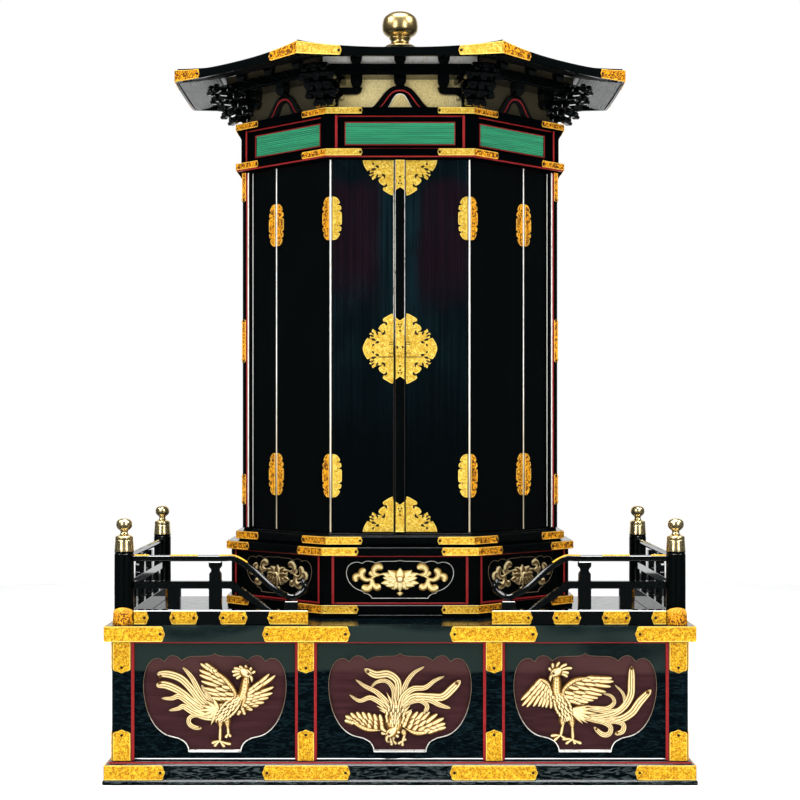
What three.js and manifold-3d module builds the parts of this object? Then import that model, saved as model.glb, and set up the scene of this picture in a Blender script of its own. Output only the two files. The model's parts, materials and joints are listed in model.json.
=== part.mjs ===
// A lacquered cabinet shrine: a half-octagon cabinet with folding doors under a bracketed, low-pitched
// roof, on a wide railed platform. Millimetres, +Z up, the front faces -Y, +X is the viewer's right.
// The origin is the middle of the platform's underside.

import * as THREE from 'three';
import { mergeVertices } from 'three/addons/utils/BufferGeometryUtils.js';
import Module from 'manifold-3d';

const wasm = await Module();
wasm.setup();

// General
const GAP = 0.3;            // between pieces that touch
const LAP = 1;              // depth to which joined shapes run into each other
const SIDES = [['left', -1], ['right', 1]];

// Platform
const FOOT_HALF = [438, 223];
const FOOT_TOP = 6;
const BAND_HALF = [435, 220];
const BOTTOM_BAND_TOP = 29;
const LEDGE_HALF = [430, 215];
const LEDGE_TOP = 33;
const POST_FACE_HALF = [426, 211];
const CORNER_POST_WIDTH = 33;
const POST_CHAMFER = 4;
const MID_POST_X = 139;
const MID_POST_WIDTH = 32;
const MID_POST_DEPTH = 26;
const POST_TOP = 209.5;
const PLATFORM_TOP = 233.5;
const PANEL_RECESS = 5;
const PANEL_THICKNESS = 12;
const LEG_STEPS = 4;
const FEATHER_STEPS = 6;
const RELIEF_CENTRE_Z = 121;

// Railing
const RAIL_POST_RADIUS = 14.5;
const POST_FACETS = 16;
const RAIL_POST_X = 409.5;
const RAIL_POST_FRONT_Y = -197;
const RAIL_POST_BACK_Y = 204;
const RAIL_POST_TOP = 342;
const GROUND_RAIL_TOP = 255;
const GROUND_RAIL_WIDTH = 22;
const GROUND_RAIL_END_X = 136;
const MID_RAIL_BOTTOM = 287;
const MID_RAIL_TOP = 298;
const MID_RAIL_WIDTH = 14;
const MID_RAIL_BEND_X = [248, 252];     // of its upper and of its lower edge
const MID_RAIL_FOOT_X = [188, 204];
const TOP_RAIL_RADIUS = 4.75;
const TOP_RAIL_Z = 331.7;
const TOP_RAIL_FACETS = 8;
const TOP_RAIL_STEPS = 24;
const FRONT_STRUT_X = [274, 335];
const STRUT_WIDTH = 18.5;
// Waisted strut between the middle and the top rail: [half width, height above the middle rail]
const BEARING = [[8.75, 0], [8.75, 11], [6, 14.5], [6, 17.5], [9.5, 22]];
const HOOK_REST_X = 161;
const HOOK_REST_WIDTH = 20;
const HOOK_REST_TOP = 268;
const SIDE_STRUT_Y = [-120, -40, 40, 120];

// Plan of the cabinet: half the front facet's width, and the corner where a diagonal facet meets a side
const FRONT_HALF = 107.7;
const FRONT_Y = -88;
const CORNER_X = 250.2;
const BACK_Y = 150;
const MITRE = Math.tan(Math.PI / 8);
const DIAGONAL = Math.SQRT1_2;
const KITE_DEPTH = 14;          // of the corner posts of the waist and of the frieze

// Waist below the cabinet: each course is [offset from the door plane, bottom, top]
const WAIST_FOOT = [[30.6, 233.8, 239], [29, 238, 241], [30.6, 240, 253.5]];
const WAIST_CORE = [19, 253.8, 328.7];
const WAIST_POST_OFFSET = 24;
const WAIST_POST_FACE = 13;
const WAIST_CORNICE = [[30.6, 329, 342], [12, 341, 346], [16, 345, 357.7], [5, 356.7, 362]];

// Cabinet and doors
const WALL = 15;
const WALL_BOTTOM = 362.3;
const WALL_TOP = 942;
const DOOR_BOTTOM = 363;
const DOOR_TOP = 941;
const HINGE_FRACTION = 0.633;   // of the diagonal facet, from the front, where the side door is hung
const HINGE_RELIEF = 4;         // chamfer of the door edges around a hinge barrel
const HINGE_RADIUS = 2.4;
const HINGE_HEIGHT = 68;
const HINGE_FACETS = 12;
const HINGE_Z = [['upper', 850], ['lower', 451]];
const EDGE_GAP = 0.4;
const LEFT_LEAF_EDGE = -9.3;
const RIGHT_LEAF_EDGE = -7;
const STILE_HALF = 7.75;
const STILE_DEPTH = 4;
const CORNER_POST_OFFSET = 6.7;
const CORNER_POST_FACE = 16;

// Frieze, brackets and roof
const FRIEZE_LOWER_BAND = [[4, 942.3, 945.6], [16.3, 944.6, 956]];
const FRIEZE_CORE = [4, 956.3, 1008.7];
const FRIEZE_POST_OFFSET = 8.8;
const FRIEZE_POST_FACE = 16;
const FRIEZE_UPPER_BAND = [[16.3, 1009, 1019.6]];
const BRACKET_CORE = [3, 1019.9, 1091.7];
const PURLIN_OUTER = 40;
const PURLIN_INNER = 26;
const PURLIN_BOTTOM = 1064.6;
const PURLIN_TOP = 1081;
const BRACKET_STEPS = [          // [reach beyond the door plane, half width, bottom, top]
  [28, 17, 1019.9, 1031], [37, 26, 1030, 1042], [43, 20, 1041, 1055],
  [52, 30, 1054, 1068], [61, 22, 1067, 1079.5],
];
const EAVE_OFFSET = 111;
const EAVE_BACK_Y = 252;
const EAVE_BOTTOM = 1077.6;
const EAVE_TOP = 1090.6;
const EAVE_CORNER_RISE = [3.4, 9.4];    // of the bottom and of the top edge
const EAVE_CURVE = 2.4;
const EAVE_SEGMENTS = 6;
const SOFFIT_Z = 1092;
const SOFFIT_OFFSET = 42;
const ROOF_APEX = [0, 36, 1142.4];
const ROOF_SWEEP = 1.35;                // power of the roof's hollow slope
const ROOF_RINGS = 5;
const ROOF_CAP_FRACTION = 0.08;
const JEWEL_FACETS = 20;

const lacquer = () => new THREE.MeshStandardMaterial({ color: 0x0c0d0f, roughness: 0.18, metalness: 0 });
const panelLacquer = () => new THREE.MeshStandardMaterial({ color: 0x3a1d1c, roughness: 0.35, metalness: 0 });
const goldLeaf = () => new THREE.MeshStandardMaterial({ color: 0xd9ab4a, roughness: 0.4, metalness: 0.8 });
const brass = () => new THREE.MeshStandardMaterial({ color: 0xc9a052, roughness: 0.15, metalness: 1 });

const shrine = new THREE.Group();

function add(name, geometry, material) {
  const mesh = new THREE.Mesh(geometry, material);
  mesh.name = name;
  shrine.add(mesh);
  return mesh;
}

// Position-only copy of a geometry with shared vertices and no flat triangles.
function tidy(geometry) {
  const bare = geometry.clone();
  bare.deleteAttribute('normal');
  bare.deleteAttribute('uv');
  const merged = mergeVertices(bare, 1e-3);
  const kept = [];
  const index = merged.index.array;
  for (let i = 0; i < index.length; i += 3) {
    const [a, b, c] = [index[i], index[i + 1], index[i + 2]];
    if (a !== b && b !== c && a !== c) kept.push(a, b, c);
  }
  merged.setIndex(kept);
  return merged;
}

function toSolid(geometry) {
  const merged = tidy(geometry);
  return new wasm.Manifold(new wasm.Mesh({
    numProp: 3,
    vertProperties: new Float32Array(merged.attributes.position.array),
    triVerts: new Uint32Array(merged.index.array),
  }));
}

function toGeometry(solid) {
  const mesh = solid.getMesh();
  const geometry = new THREE.BufferGeometry();
  geometry.setAttribute('position', new THREE.BufferAttribute(new Float32Array(mesh.vertProperties), 3));
  geometry.setIndex(new THREE.BufferAttribute(new Uint32Array(mesh.triVerts), 1));
  return geometry;
}

function join(geometries) {
  const [first, ...rest] = geometries.map(toSolid);
  return toGeometry(rest.reduce((sum, solid) => sum.add(solid), first));
}

function box([x0, x1], [y0, y1], [z0, z1]) {
  const geometry = new THREE.BoxGeometry(x1 - x0, y1 - y0, z1 - z0);
  return geometry.translate((x0 + x1) / 2, (y0 + y1) / 2, (z0 + z1) / 2);
}

function shapeOf(points) {
  return new THREE.Shape(points.map(([x, y]) => new THREE.Vector2(x, y)));
}

// Upright prism on a plan outline.
function prism(points, bottom, top) {
  const geometry = new THREE.ExtrudeGeometry(shapeOf(points), { depth: top - bottom, bevelEnabled: false });
  return geometry.translate(0, 0, bottom);
}

// Plate with an outline drawn in the XZ plane, from its back face at y towards the viewer.
function plate(points, y, depth) {
  const geometry = new THREE.ExtrudeGeometry(shapeOf(points), { depth, bevelEnabled: false });
  return geometry.rotateX(Math.PI / 2).translate(0, y, 0);
}

// Round piece about a vertical axis; the profile runs upwards as [radius, height].
function turned(profile, x, y, segments) {
  const points = profile.map(([radius, height]) => new THREE.Vector2(radius, height));
  return new THREE.LatheGeometry(points, segments).rotateX(Math.PI / 2).translate(x, y, 0);
}

// Corners of the plan at an offset from the door plane, on one side of the middle.
function frontCorner(offset, side = 1) {
  return [side * (FRONT_HALF + MITRE * offset), FRONT_Y - offset];
}

function sideCorner(offset, side = 1) {
  const cornerY = FRONT_Y + CORNER_X - FRONT_HALF;
  return [side * (CORNER_X + offset), cornerY - MITRE * offset];
}

function outline(offset, back) {
  const reach = CORNER_X + offset;
  return [
    frontCorner(offset, -1), frontCorner(offset), sideCorner(offset),
    [reach, back], [-reach, back], sideCorner(offset, -1),
  ];
}

// Stack of half-octagon courses in one piece.
function courses(list) {
  return join(list.map(([offset, bottom, top]) => prism(outline(offset, BACK_Y), bottom, top)));
}

// Mirrors plan points for the left side and keeps the outline's turning sense.
function onSide(points, side) {
  const placed = points.map(([x, y]) => [x * side, y]);
  return side < 0 ? placed.reverse() : placed;
}

// Point at a distance along the right diagonal facet from its front corner, and at a depth behind its face.
function onDiagonal(along, depth = 0) {
  return [FRONT_HALF + (along - depth) * DIAGONAL, FRONT_Y + (along + depth) * DIAGONAL];
}

const DIAGONAL_LENGTH = (CORNER_X - FRONT_HALF) / DIAGONAL;
const HINGE_ALONG = HINGE_FRACTION * DIAGONAL_LENGTH;

// Post that stands proud at each corner of a drum: a kite in plan.
function cornerKites(offset, face, bottom, top) {
  const inner = offset - KITE_DEPTH;
  const slant = face * DIAGONAL;
  const [fx, fy] = frontCorner(offset);
  const [sx, sy] = sideCorner(offset);
  const atFront = [frontCorner(inner), [fx - face, fy], [fx, fy], [fx + slant, fy + slant]];
  const atSide = [sideCorner(inner), [sx - slant, sy - slant], [sx, sy], [sx, sy + face]];
  const kites = [atFront, atSide];
  return SIDES.flatMap(([, side]) => kites.map((kite) => prism(onSide(kite, side), bottom, top)));
}

function platform() {
  const [footX, footY] = FOOT_HALF;
  const [bandX, bandY] = BAND_HALF;
  const [ledgeX, ledgeY] = LEDGE_HALF;
  add('platform_bottom_board', join([
    box([-footX, footX], [-footY, footY], [0, FOOT_TOP]),
    box([-bandX, bandX], [-bandY, bandY], [FOOT_TOP - LAP, BOTTOM_BAND_TOP]),
    box([-ledgeX, ledgeX], [-ledgeY, ledgeY], [BOTTOM_BAND_TOP - LAP, LEDGE_TOP]),
  ]), lacquer());
  add('platform_top_board', box([-bandX, bandX], [-bandY, bandY], [POST_TOP + GAP, PLATFORM_TOP]), lacquer());

  const [faceX, faceY] = POST_FACE_HALF;
  const postRange = [LEDGE_TOP + GAP, POST_TOP];
  const innerX = faceX - CORNER_POST_WIDTH;
  const innerY = faceY - CORNER_POST_WIDTH;
  for (const [end, way] of [['front', -1], ['back', 1]]) {
    for (const [name, side] of SIDES) {
      const c = POST_CHAMFER;
      const points = [[innerX, innerY], [faceX - c, innerY], [faceX, innerY + c], [faceX, faceY - c],
        [faceX - c, faceY], [innerX + c, faceY], [innerX, faceY - c]];
      const turnedPoints = points.map(([x, y]) => [x * side, y * way]);
      add(`platform_post_${end}_${name}`, prism(turnedPoints, ...postRange), lacquer());
    }
  }
  const midHalf = MID_POST_WIDTH / 2;
  for (const [name, side] of SIDES) {
    const c = POST_CHAMFER;
    const points = [[-midHalf, -faceY + c], [-midHalf + c, -faceY], [midHalf - c, -faceY],
      [midHalf, -faceY + c], [midHalf, -faceY + MID_POST_DEPTH], [-midHalf, -faceY + MID_POST_DEPTH]];
    const placed = points.map(([x, y]) => [x + side * MID_POST_X, y]);
    add(`platform_mid_post_${name}`, prism(placed, ...postRange), lacquer());
  }

  const frontPanelY = [-faceY + PANEL_RECESS, -faceY + PANEL_RECESS + PANEL_THICKNESS];
  const middleHalf = MID_POST_X - midHalf - GAP;
  add('platform_panel_middle', box([-middleHalf, middleHalf], frontPanelY, postRange), panelLacquer());
  for (const [name, side] of SIDES) {
    const ends = [MID_POST_X + midHalf + GAP, innerX - GAP].map((x) => x * side).sort((a, b) => a - b);
    add(`platform_panel_${name}`, box(ends, frontPanelY, postRange), panelLacquer());
    const depth = [faceX - PANEL_RECESS, faceX - PANEL_RECESS - PANEL_THICKNESS];
    const across = depth.map((x) => x * side).sort((a, b) => a - b);
    add(`platform_side_${name}`, box(across, [-innerY + GAP, innerY - GAP], postRange), lacquer());
  }
  const backPanelY = frontPanelY.map((y) => -y).reverse();
  add('platform_back', box([-innerX + GAP, innerX - GAP], backPanelY, postRange), lacquer());
}

// Outline of a feather from one point to another: a path of even bend, in degrees, whose width swells
// and narrows to a point at both ends.
function feather([x0, z0], [x1, z1], bend, width, steps = FEATHER_STEPS) {
  const turn = THREE.MathUtils.degToRad(bend);
  const chord = Math.hypot(x1 - x0, z1 - z0);
  const length = Math.abs(turn) < 1e-6 ? chord : chord * (turn / 2) / Math.sin(turn / 2);
  const start = Math.atan2(z1 - z0, x1 - x0) - turn / 2;
  const left = [];
  const right = [];
  let [x, z] = [x0, z0];
  for (let i = 0; i <= steps; i += 1) {
    const t = i / steps;
    const angle = start + turn * t;
    const half = width / 2 * Math.sin(Math.PI * (0.1 + 0.9 * t) ** 0.8);
    left.push([x - half * Math.sin(angle), z + half * Math.cos(angle)]);
    right.push([x + half * Math.sin(angle), z - half * Math.cos(angle)]);
    const middle = angle + turn / steps / 2;
    x += length / steps * Math.cos(middle);
    z += length / steps * Math.sin(middle);
  }
  left.pop();
  return [...right, ...left.reverse()];
}

// Fan of feathers from one root, with tips spread evenly between two points.
function fan(root, firstTip, lastTip, count, bend, width) {
  return Array.from({ length: count }, (_, i) => {
    const t = i / (count - 1);
    const swell = 1 + 0.12 * Math.sin(Math.PI * t);
    const tip = [0, 1].map((k) => root[k] + (firstTip[k] + (lastTip[k] - firstTip[k]) * t - root[k]) * swell);
    return feather(root, tip, bend, width);
  });
}

// Gilded phoenix carvings: each is tail and wing feathers, then the body, neck, head and legs, in front view
// about the panel's middle. Deeper shapes lie on top.
function phoenixes() {
  const birds = {
    left: {
      plumes: [[[-2, -20], [-82, 43], -50, 13], [[-2, -20], [-83, 23], -42, 13],
        [[-2, -21], [-74, 4], -36, 13], [[-2, -22], [-64, -14], -30, 12], [[2, -24], [-18, -40], -60, 10]],
      wings: [[[26, 2], [92, 41], [84, 6], 5, 24, 13], [[4, -4], [-14, 57], [-46, 30], 5, -24, 13]],
      body: [[[-8, -24], [38, 14], 26, 36], [[28, 2], [50, 40], 34, 17], [[43, 36], [64, 38], -24, 13],
        [[50, 40], [38, 54], 40, 6], [[52, 42], [48, 58], 30, 6]],
      legs: [[[8, -12], [13, -66], -10, 8], [[22, -8], [30, -62], -14, 8], [[4, -64], [40, -64], 10, 6]],
    },
    middle: {
      plumes: [[[-4, 14], [-56, 50], -34, 13], [[-5, 10], [-67, 31], -28, 13], [[-6, 6], [-76, 10], -24, 13],
        [[3, 14], [35, 53], 34, 13], [[4, 10], [63, 37], 30, 13], [[6, 6], [87, 31], 44, 13],
        [[0, 12], [-8, 54], -20, 12]],
      wings: [[[-10, -8], [-84, -28], [-42, -54], 5, 26, 14], [[10, -8], [76, -28], [42, -54], 5, -26, 14]],
      body: [[[0, 26], [0, -34], 12, 38], [[-2, -22], [10, -54], 50, 17], [[2, -50], [24, -60], -30, 13],
        [[6, -50], [22, -42], 40, 6]],
      legs: [[[-6, 10], [-30, -4], 10, 7], [[6, 10], [30, -2], -10, 7]],
    },
    right: {
      plumes: [[[6, -20], [63, 53], 62, 13], [[6, -20], [93, 20], 70, 13], [[6, -22], [80, -8], 50, 13],
        [[6, -24], [56, -36], 44, 12], [[4, -24], [30, -54], 40, 11]],
      wings: [[[-24, 2], [-98, -10], [-78, 30], 5, 24, 13], [[-4, -2], [35, 33], [4, 54], 5, 24, 13]],
      body: [[[10, -26], [-32, 14], -26, 36], [[-24, 2], [-40, 44], -34, 17], [[-34, 42], [-58, 40], 24, 13],
        [[-40, 44], [-26, 56], -40, 6], [[-42, 46], [-36, 60], -30, 6]],
      legs: [[[-10, -14], [-39, -53], -14, 8], [[0, -14], [-16, -64], 10, 8]],
    },
  };
  const outerPanelX = (MID_POST_X + MID_POST_WIDTH / 2 + POST_FACE_HALF[0] - CORNER_POST_WIDTH) / 2;
  const middles = { left: -outerPanelX, middle: 0, right: outerPanelX };
  const back = -POST_FACE_HALF[1] + PANEL_RECESS - GAP;
  const depths = { plumes: 4, legs: 5, wings: 6, body: 9 };
  for (const [name, bird] of Object.entries(birds)) {
    const layers = [
      ...bird.plumes.map((plume) => plate(feather(...plume), back, depths.plumes)),
      ...bird.legs.map((leg) => plate(feather(...leg, LEG_STEPS), back, depths.legs)),
      ...bird.wings.flatMap((wing) => fan(...wing)).map((points) => plate(points, back, depths.wings)),
      ...bird.body.map((part) => plate(feather(...part), back, depths.body)),
    ];
    add(`phoenix_${name}`, join(layers).translate(middles[name], 0, RELIEF_CENTRE_Z), goldLeaf());
  }
}

// Cap of a railing post: a tall tapered collar, a narrow neck and a flattened ball.
function ballCap() {
  return [[0, 342.3], [14.3, 342.3], [13.2, 358.5], [13.1, 364.5], [8.8, 367.2], [5.9, 370.5], [5.3, 375],
    [9.6, 378.6], [11.7, 383], [10.4, 387], [6, 390.2], [0, 391]];
}

// Path of the front top rail's centre line on the right: level, then sweeping down to a turned-up hook.
function topRailPath(fromX) {
  const level = [fromX, 330, 262].map((x) => [x, TOP_RAIL_Z]);
  const hook = [[244, 330.6], [217, 313], [188, 287], [162, 273.8], [146, 280.5], [141, 290.5], [147, 297.5]];
  return [...level, ...hook];
}

function tube(points, radius, steps, facets) {
  const curve = points.length > 2 ? new THREE.CatmullRomCurve3(points, false, 'centripetal')
    : new THREE.LineCurve3(...points);
  const circle = Array.from({ length: facets }, (_, i) => {
    const angle = (i + 0.5) / facets * 2 * Math.PI;
    return [radius * Math.cos(angle), radius * Math.sin(angle)];
  });
  return new THREE.ExtrudeGeometry(shapeOf(circle), { steps, extrudePath: curve, bevelEnabled: false });
}

function railing() {
  const clear = RAIL_POST_RADIUS + GAP;
  for (const [end, y] of [['front', RAIL_POST_FRONT_Y], ['back', RAIL_POST_BACK_Y]]) {
    for (const [name, side] of SIDES) {
      const x = side * RAIL_POST_X;
      const r = RAIL_POST_RADIUS;
      const post = [[0, PLATFORM_TOP + GAP], [r, PLATFORM_TOP + GAP], [r, RAIL_POST_TOP], [0, RAIL_POST_TOP]];
      add(`railing_post_${end}_${name}`, turned(post, x, y, POST_FACETS), lacquer());
      add(`railing_cap_${end}_${name}`, turned(ballCap(), x, y, POST_FACETS), brass());
    }
  }
  const endX = RAIL_POST_X - clear;
  const ground = [PLATFORM_TOP + GAP, GROUND_RAIL_TOP];
  const groundHalf = GROUND_RAIL_WIDTH / 2;
  const midHalf = MID_RAIL_WIDTH / 2;
  const bearingTop = TOP_RAIL_Z - TOP_RAIL_RADIUS - GAP;
  const sunk = GROUND_RAIL_TOP - LAP;
  const frontY = RAIL_POST_FRONT_Y;
  const lowerStrut = (x, y) => box([x - STRUT_WIDTH / 2, x + STRUT_WIDTH / 2], [y - midHalf, y + midHalf],
    [sunk, MID_RAIL_BOTTOM + LAP]);
  const [footHalf, headHalf] = [BEARING[0][0], BEARING.at(-1)[0]];
  const bearingEdge = [[footHalf, MID_RAIL_TOP - LAP],
    ...BEARING.map(([half, height]) => [half, MID_RAIL_TOP + height]), [headHalf, bearingTop]];
  const bearing = [...bearingEdge, ...bearingEdge.map(([half, z]) => [-half, z]).reverse()];
  for (const [name, side] of SIDES) {
    const lean = [[endX, MID_RAIL_TOP], [MID_RAIL_BEND_X[0], MID_RAIL_TOP], [MID_RAIL_FOOT_X[0], sunk],
      [MID_RAIL_FOOT_X[1], sunk], [MID_RAIL_BEND_X[1], MID_RAIL_BOTTOM], [endX, MID_RAIL_BOTTOM]];
    const [bearingX] = FRONT_STRUT_X;
    const frontPieces = [
      box([GROUND_RAIL_END_X, endX], [frontY - groundHalf, frontY + groundHalf], ground),
      plate(lean, frontY + midHalf, MID_RAIL_WIDTH),
      ...FRONT_STRUT_X.map((x) => lowerStrut(x, frontY)),
      plate(bearing.map(([x, z]) => [x + bearingX, z]), frontY + midHalf, MID_RAIL_WIDTH),
      box([HOOK_REST_X - HOOK_REST_WIDTH / 2, HOOK_REST_X + HOOK_REST_WIDTH / 2],
        [frontY - midHalf, frontY + midHalf], [sunk, HOOK_REST_TOP]),
    ];
    const front = join(frontPieces);
    if (side < 0) mirrorAcrossMiddle(front);
    add(`railing_front_${name}`, front, lacquer());

    const path = topRailPath(endX).map(([x, z]) => new THREE.Vector3(side * x, frontY, z));
    add(`top_rail_front_${name}`, tube(path, TOP_RAIL_RADIUS, TOP_RAIL_STEPS, TOP_RAIL_FACETS), lacquer());

    const x = side * RAIL_POST_X;
    const along = [RAIL_POST_FRONT_Y + clear, RAIL_POST_BACK_Y - clear];
    const sideStruts = SIDE_STRUT_Y.map((y) => box([x - midHalf, x + midHalf],
      [y - STRUT_WIDTH / 2, y + STRUT_WIDTH / 2], [sunk, MID_RAIL_BOTTOM + LAP]));
    const sideBearings = [SIDE_STRUT_Y[1], SIDE_STRUT_Y[2]].map((y) => {
      const block = plate(bearing, midHalf, MID_RAIL_WIDTH);
      return block.rotateZ(Math.PI / 2).translate(x, y, 0);
    });
    add(`railing_side_${name}`, join([
      box([x - groundHalf, x + groundHalf], along, ground),
      box([x - midHalf, x + midHalf], along, [MID_RAIL_BOTTOM, MID_RAIL_TOP]),
      ...sideStruts, ...sideBearings,
    ]), lacquer());
    const ends = along.map((y) => new THREE.Vector3(x, y, TOP_RAIL_Z));
    add(`top_rail_side_${name}`, tube(ends, TOP_RAIL_RADIUS, 1, TOP_RAIL_FACETS), lacquer());
  }
}

// Reflects a geometry in the plane x = 0 and turns its faces out again.
function mirrorAcrossMiddle(geometry) {
  geometry.scale(-1, 1, 1);
  const index = geometry.index.array;
  for (let i = 0; i < index.length; i += 3) [index[i], index[i + 1]] = [index[i + 1], index[i]];
}

function waist() {
  add('waist_foot', courses(WAIST_FOOT), lacquer());
  const [offset, bottom, top] = WAIST_CORE;
  const kites = cornerKites(WAIST_POST_OFFSET, WAIST_POST_FACE, bottom, top);
  add('waist_block', join([prism(outline(offset, BACK_Y), bottom, top), ...kites]), lacquer());
  add('waist_cornice', courses(WAIST_CORNICE), lacquer());
}

function cabinet() {
  const wallInner = CORNER_X - WALL;
  const jambBack = sideCorner(0)[1] + CORNER_POST_FACE;
  const [postX, postY] = sideCorner(CORNER_POST_OFFSET);
  const postStart = DIAGONAL_LENGTH - CORNER_POST_FACE;
  const jamb = [
    onDiagonal(HINGE_ALONG + EDGE_GAP, HINGE_RELIEF), onDiagonal(HINGE_ALONG + EDGE_GAP + HINGE_RELIEF),
    onDiagonal(postStart), onDiagonal(postStart, -CORNER_POST_OFFSET), [postX, postY], [postX, jambBack],
    [wallInner, jambBack], sideCorner(-WALL), onDiagonal(HINGE_ALONG + EDGE_GAP, WALL),
  ];
  for (const [name, side] of SIDES) {
    add(`door_jamb_${name}`, prism(onSide(jamb, side), WALL_BOTTOM, WALL_TOP), lacquer());
    const across = [wallInner, CORNER_X].map((x) => x * side).sort((a, b) => a - b);
    const along = [jambBack + GAP, BACK_Y - WALL - GAP];
    add(`cabinet_side_${name}`, box(across, along, [WALL_BOTTOM, WALL_TOP]), lacquer());
  }
  const backWall = box([-CORNER_X, CORNER_X], [BACK_Y - WALL, BACK_Y], [WALL_BOTTOM, WALL_TOP]);
  add('cabinet_back', backWall, lacquer());
}

// A front leaf and a side leaf on each side, hung on barrels whose axes lie on the outer faces' edges.
function doors() {
  const mitreBack = [-MITRE * WALL, WALL];
  const mitreRelief = [-HINGE_RELIEF * Math.sin(Math.PI / 8), HINGE_RELIEF * Math.cos(Math.PI / 8)];
  const half = EDGE_GAP / 2;
  const [vx, vy] = frontCorner(0);
  for (const [name, side] of SIDES) {
    const freeEdge = side * (name === 'left' ? LEFT_LEAF_EDGE : RIGHT_LEAF_EDGE);
    const frontLeaf = [[freeEdge, vy], [vx - HINGE_RELIEF, vy],
      [vx + mitreRelief[0] - half, vy + mitreRelief[1]], [vx + mitreBack[0] - half, vy + mitreBack[1]],
      [freeEdge, vy + WALL]];
    add(`front_door_${name}`, prism(onSide(frontLeaf, side), DOOR_BOTTOM, DOOR_TOP), lacquer());
    const sideLeaf = [[vx + mitreRelief[0] + half, vy + mitreRelief[1]], onDiagonal(HINGE_RELIEF),
      onDiagonal(HINGE_ALONG - EDGE_GAP - HINGE_RELIEF), onDiagonal(HINGE_ALONG - EDGE_GAP, HINGE_RELIEF),
      onDiagonal(HINGE_ALONG - EDGE_GAP, WALL), [vx + mitreBack[0] + half, vy + mitreBack[1]]];
    add(`side_door_${name}`, prism(onSide(sideLeaf, side), DOOR_BOTTOM, DOOR_TOP), lacquer());

    const hingeLines = { front: frontCorner(0, side), side: onSide([onDiagonal(HINGE_ALONG)], side)[0] };
    for (const [line, [x, y]] of Object.entries(hingeLines)) {
      for (const [level, z] of HINGE_Z) {
        const [low, high] = [z - HINGE_HEIGHT / 2, z + HINGE_HEIGHT / 2];
        const barrel = [[0, low], [HINGE_RADIUS, low], [HINGE_RADIUS, high], [0, high]];
        add(`hinge_${line}_${name}_${level}`, turned(barrel, x, y, HINGE_FACETS), brass());
      }
    }
  }
  const stileY = [vy - GAP - STILE_DEPTH, vy - GAP];
  add('centre_stile', box([-STILE_HALF, STILE_HALF], stileY, [DOOR_BOTTOM, DOOR_TOP]), lacquer());
}

function frieze() {
  add('frieze_lower_band', courses(FRIEZE_LOWER_BAND), lacquer());
  const [offset, bottom, top] = FRIEZE_CORE;
  const kites = cornerKites(FRIEZE_POST_OFFSET, FRIEZE_POST_FACE, bottom, top);
  add('frieze_drum', join([prism(outline(offset, BACK_Y), bottom, top), ...kites]), lacquer());
  add('frieze_upper_band', courses(FRIEZE_UPPER_BAND), lacquer());
}

// Stepped bracket cluster that grows outwards from one corner of the board behind it.
function bracketCluster([x, y], direction) {
  const angle = Math.atan2(direction[1], direction[0]);
  return BRACKET_STEPS.map(([reach, halfWidth, bottom, top]) => {
    const step = box([0, reach / Math.cos(Math.PI / 8)], [-halfWidth, halfWidth], [bottom, top]);
    return step.rotateZ(angle).translate(x, y, 0);
  });
}

// Boarded core behind the brackets, the purlin that runs round it, and a bracket cluster at each corner.
function brackets() {
  const [offset, bottom, top] = BRACKET_CORE;
  const [fl, fr, sr, br, bl, sl] = outline(PURLIN_OUTER, BACK_Y);
  const [ifl, ifr, isr, ibr, ibl, isl] = outline(PURLIN_INNER, BACK_Y);
  const purlin = [bl, sl, fl, fr, sr, br, ibr, isr, ifr, ifl, isl, ibl];
  const sin = Math.sin(Math.PI / 8);
  const cos = Math.cos(Math.PI / 8);
  const clusters = SIDES.flatMap(([, side]) => [
    ...bracketCluster(frontCorner(0, side), [side * sin, -cos]),
    ...bracketCluster(sideCorner(0, side), [side * cos, -sin]),
  ]);
  const core = prism(outline(offset, BACK_Y), bottom, top);
  add('bracket_tier', join([core, prism(purlin, PURLIN_BOTTOM, PURLIN_TOP), ...clusters]), lacquer());
}

// Points along the roof's outline at an offset, each with its share of the way from the middle of its edge
// to a corner.
function eaveLine(offset, back) {
  const corners = outline(offset, back);
  return corners.flatMap(([x0, y0], i) => {
    const [x1, y1] = corners[(i + 1) % corners.length];
    return Array.from({ length: EAVE_SEGMENTS }, (_, k) => {
      const t = k / EAVE_SEGMENTS;
      return { x: x0 + (x1 - x0) * t, y: y0 + (y1 - y0) * t, corner: Math.abs(2 * t - 1) };
    });
  });
}

// Closed skin over a list of rings with equal point counts, ending in a point below and above.
function skin(rings, below, above) {
  const count = rings[0].length;
  const positions = [...rings.flat(), below, above].flat();
  const lowest = rings.length * count;
  const faces = [];
  for (let k = 0; k < count; k += 1) {
    const next = (k + 1) % count;
    faces.push(lowest, next, k);
    for (let r = 0; r + 1 < rings.length; r += 1) {
      const [a, b] = [r * count + k, r * count + next];
      faces.push(a, b, b + count, a, b + count, a + count);
    }
    const last = (rings.length - 1) * count;
    faces.push(last + k, last + next, lowest + 1);
  }
  const geometry = new THREE.BufferGeometry();
  geometry.setAttribute('position', new THREE.Float32BufferAttribute(positions, 3));
  geometry.setIndex(faces);
  return geometry;
}

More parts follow.
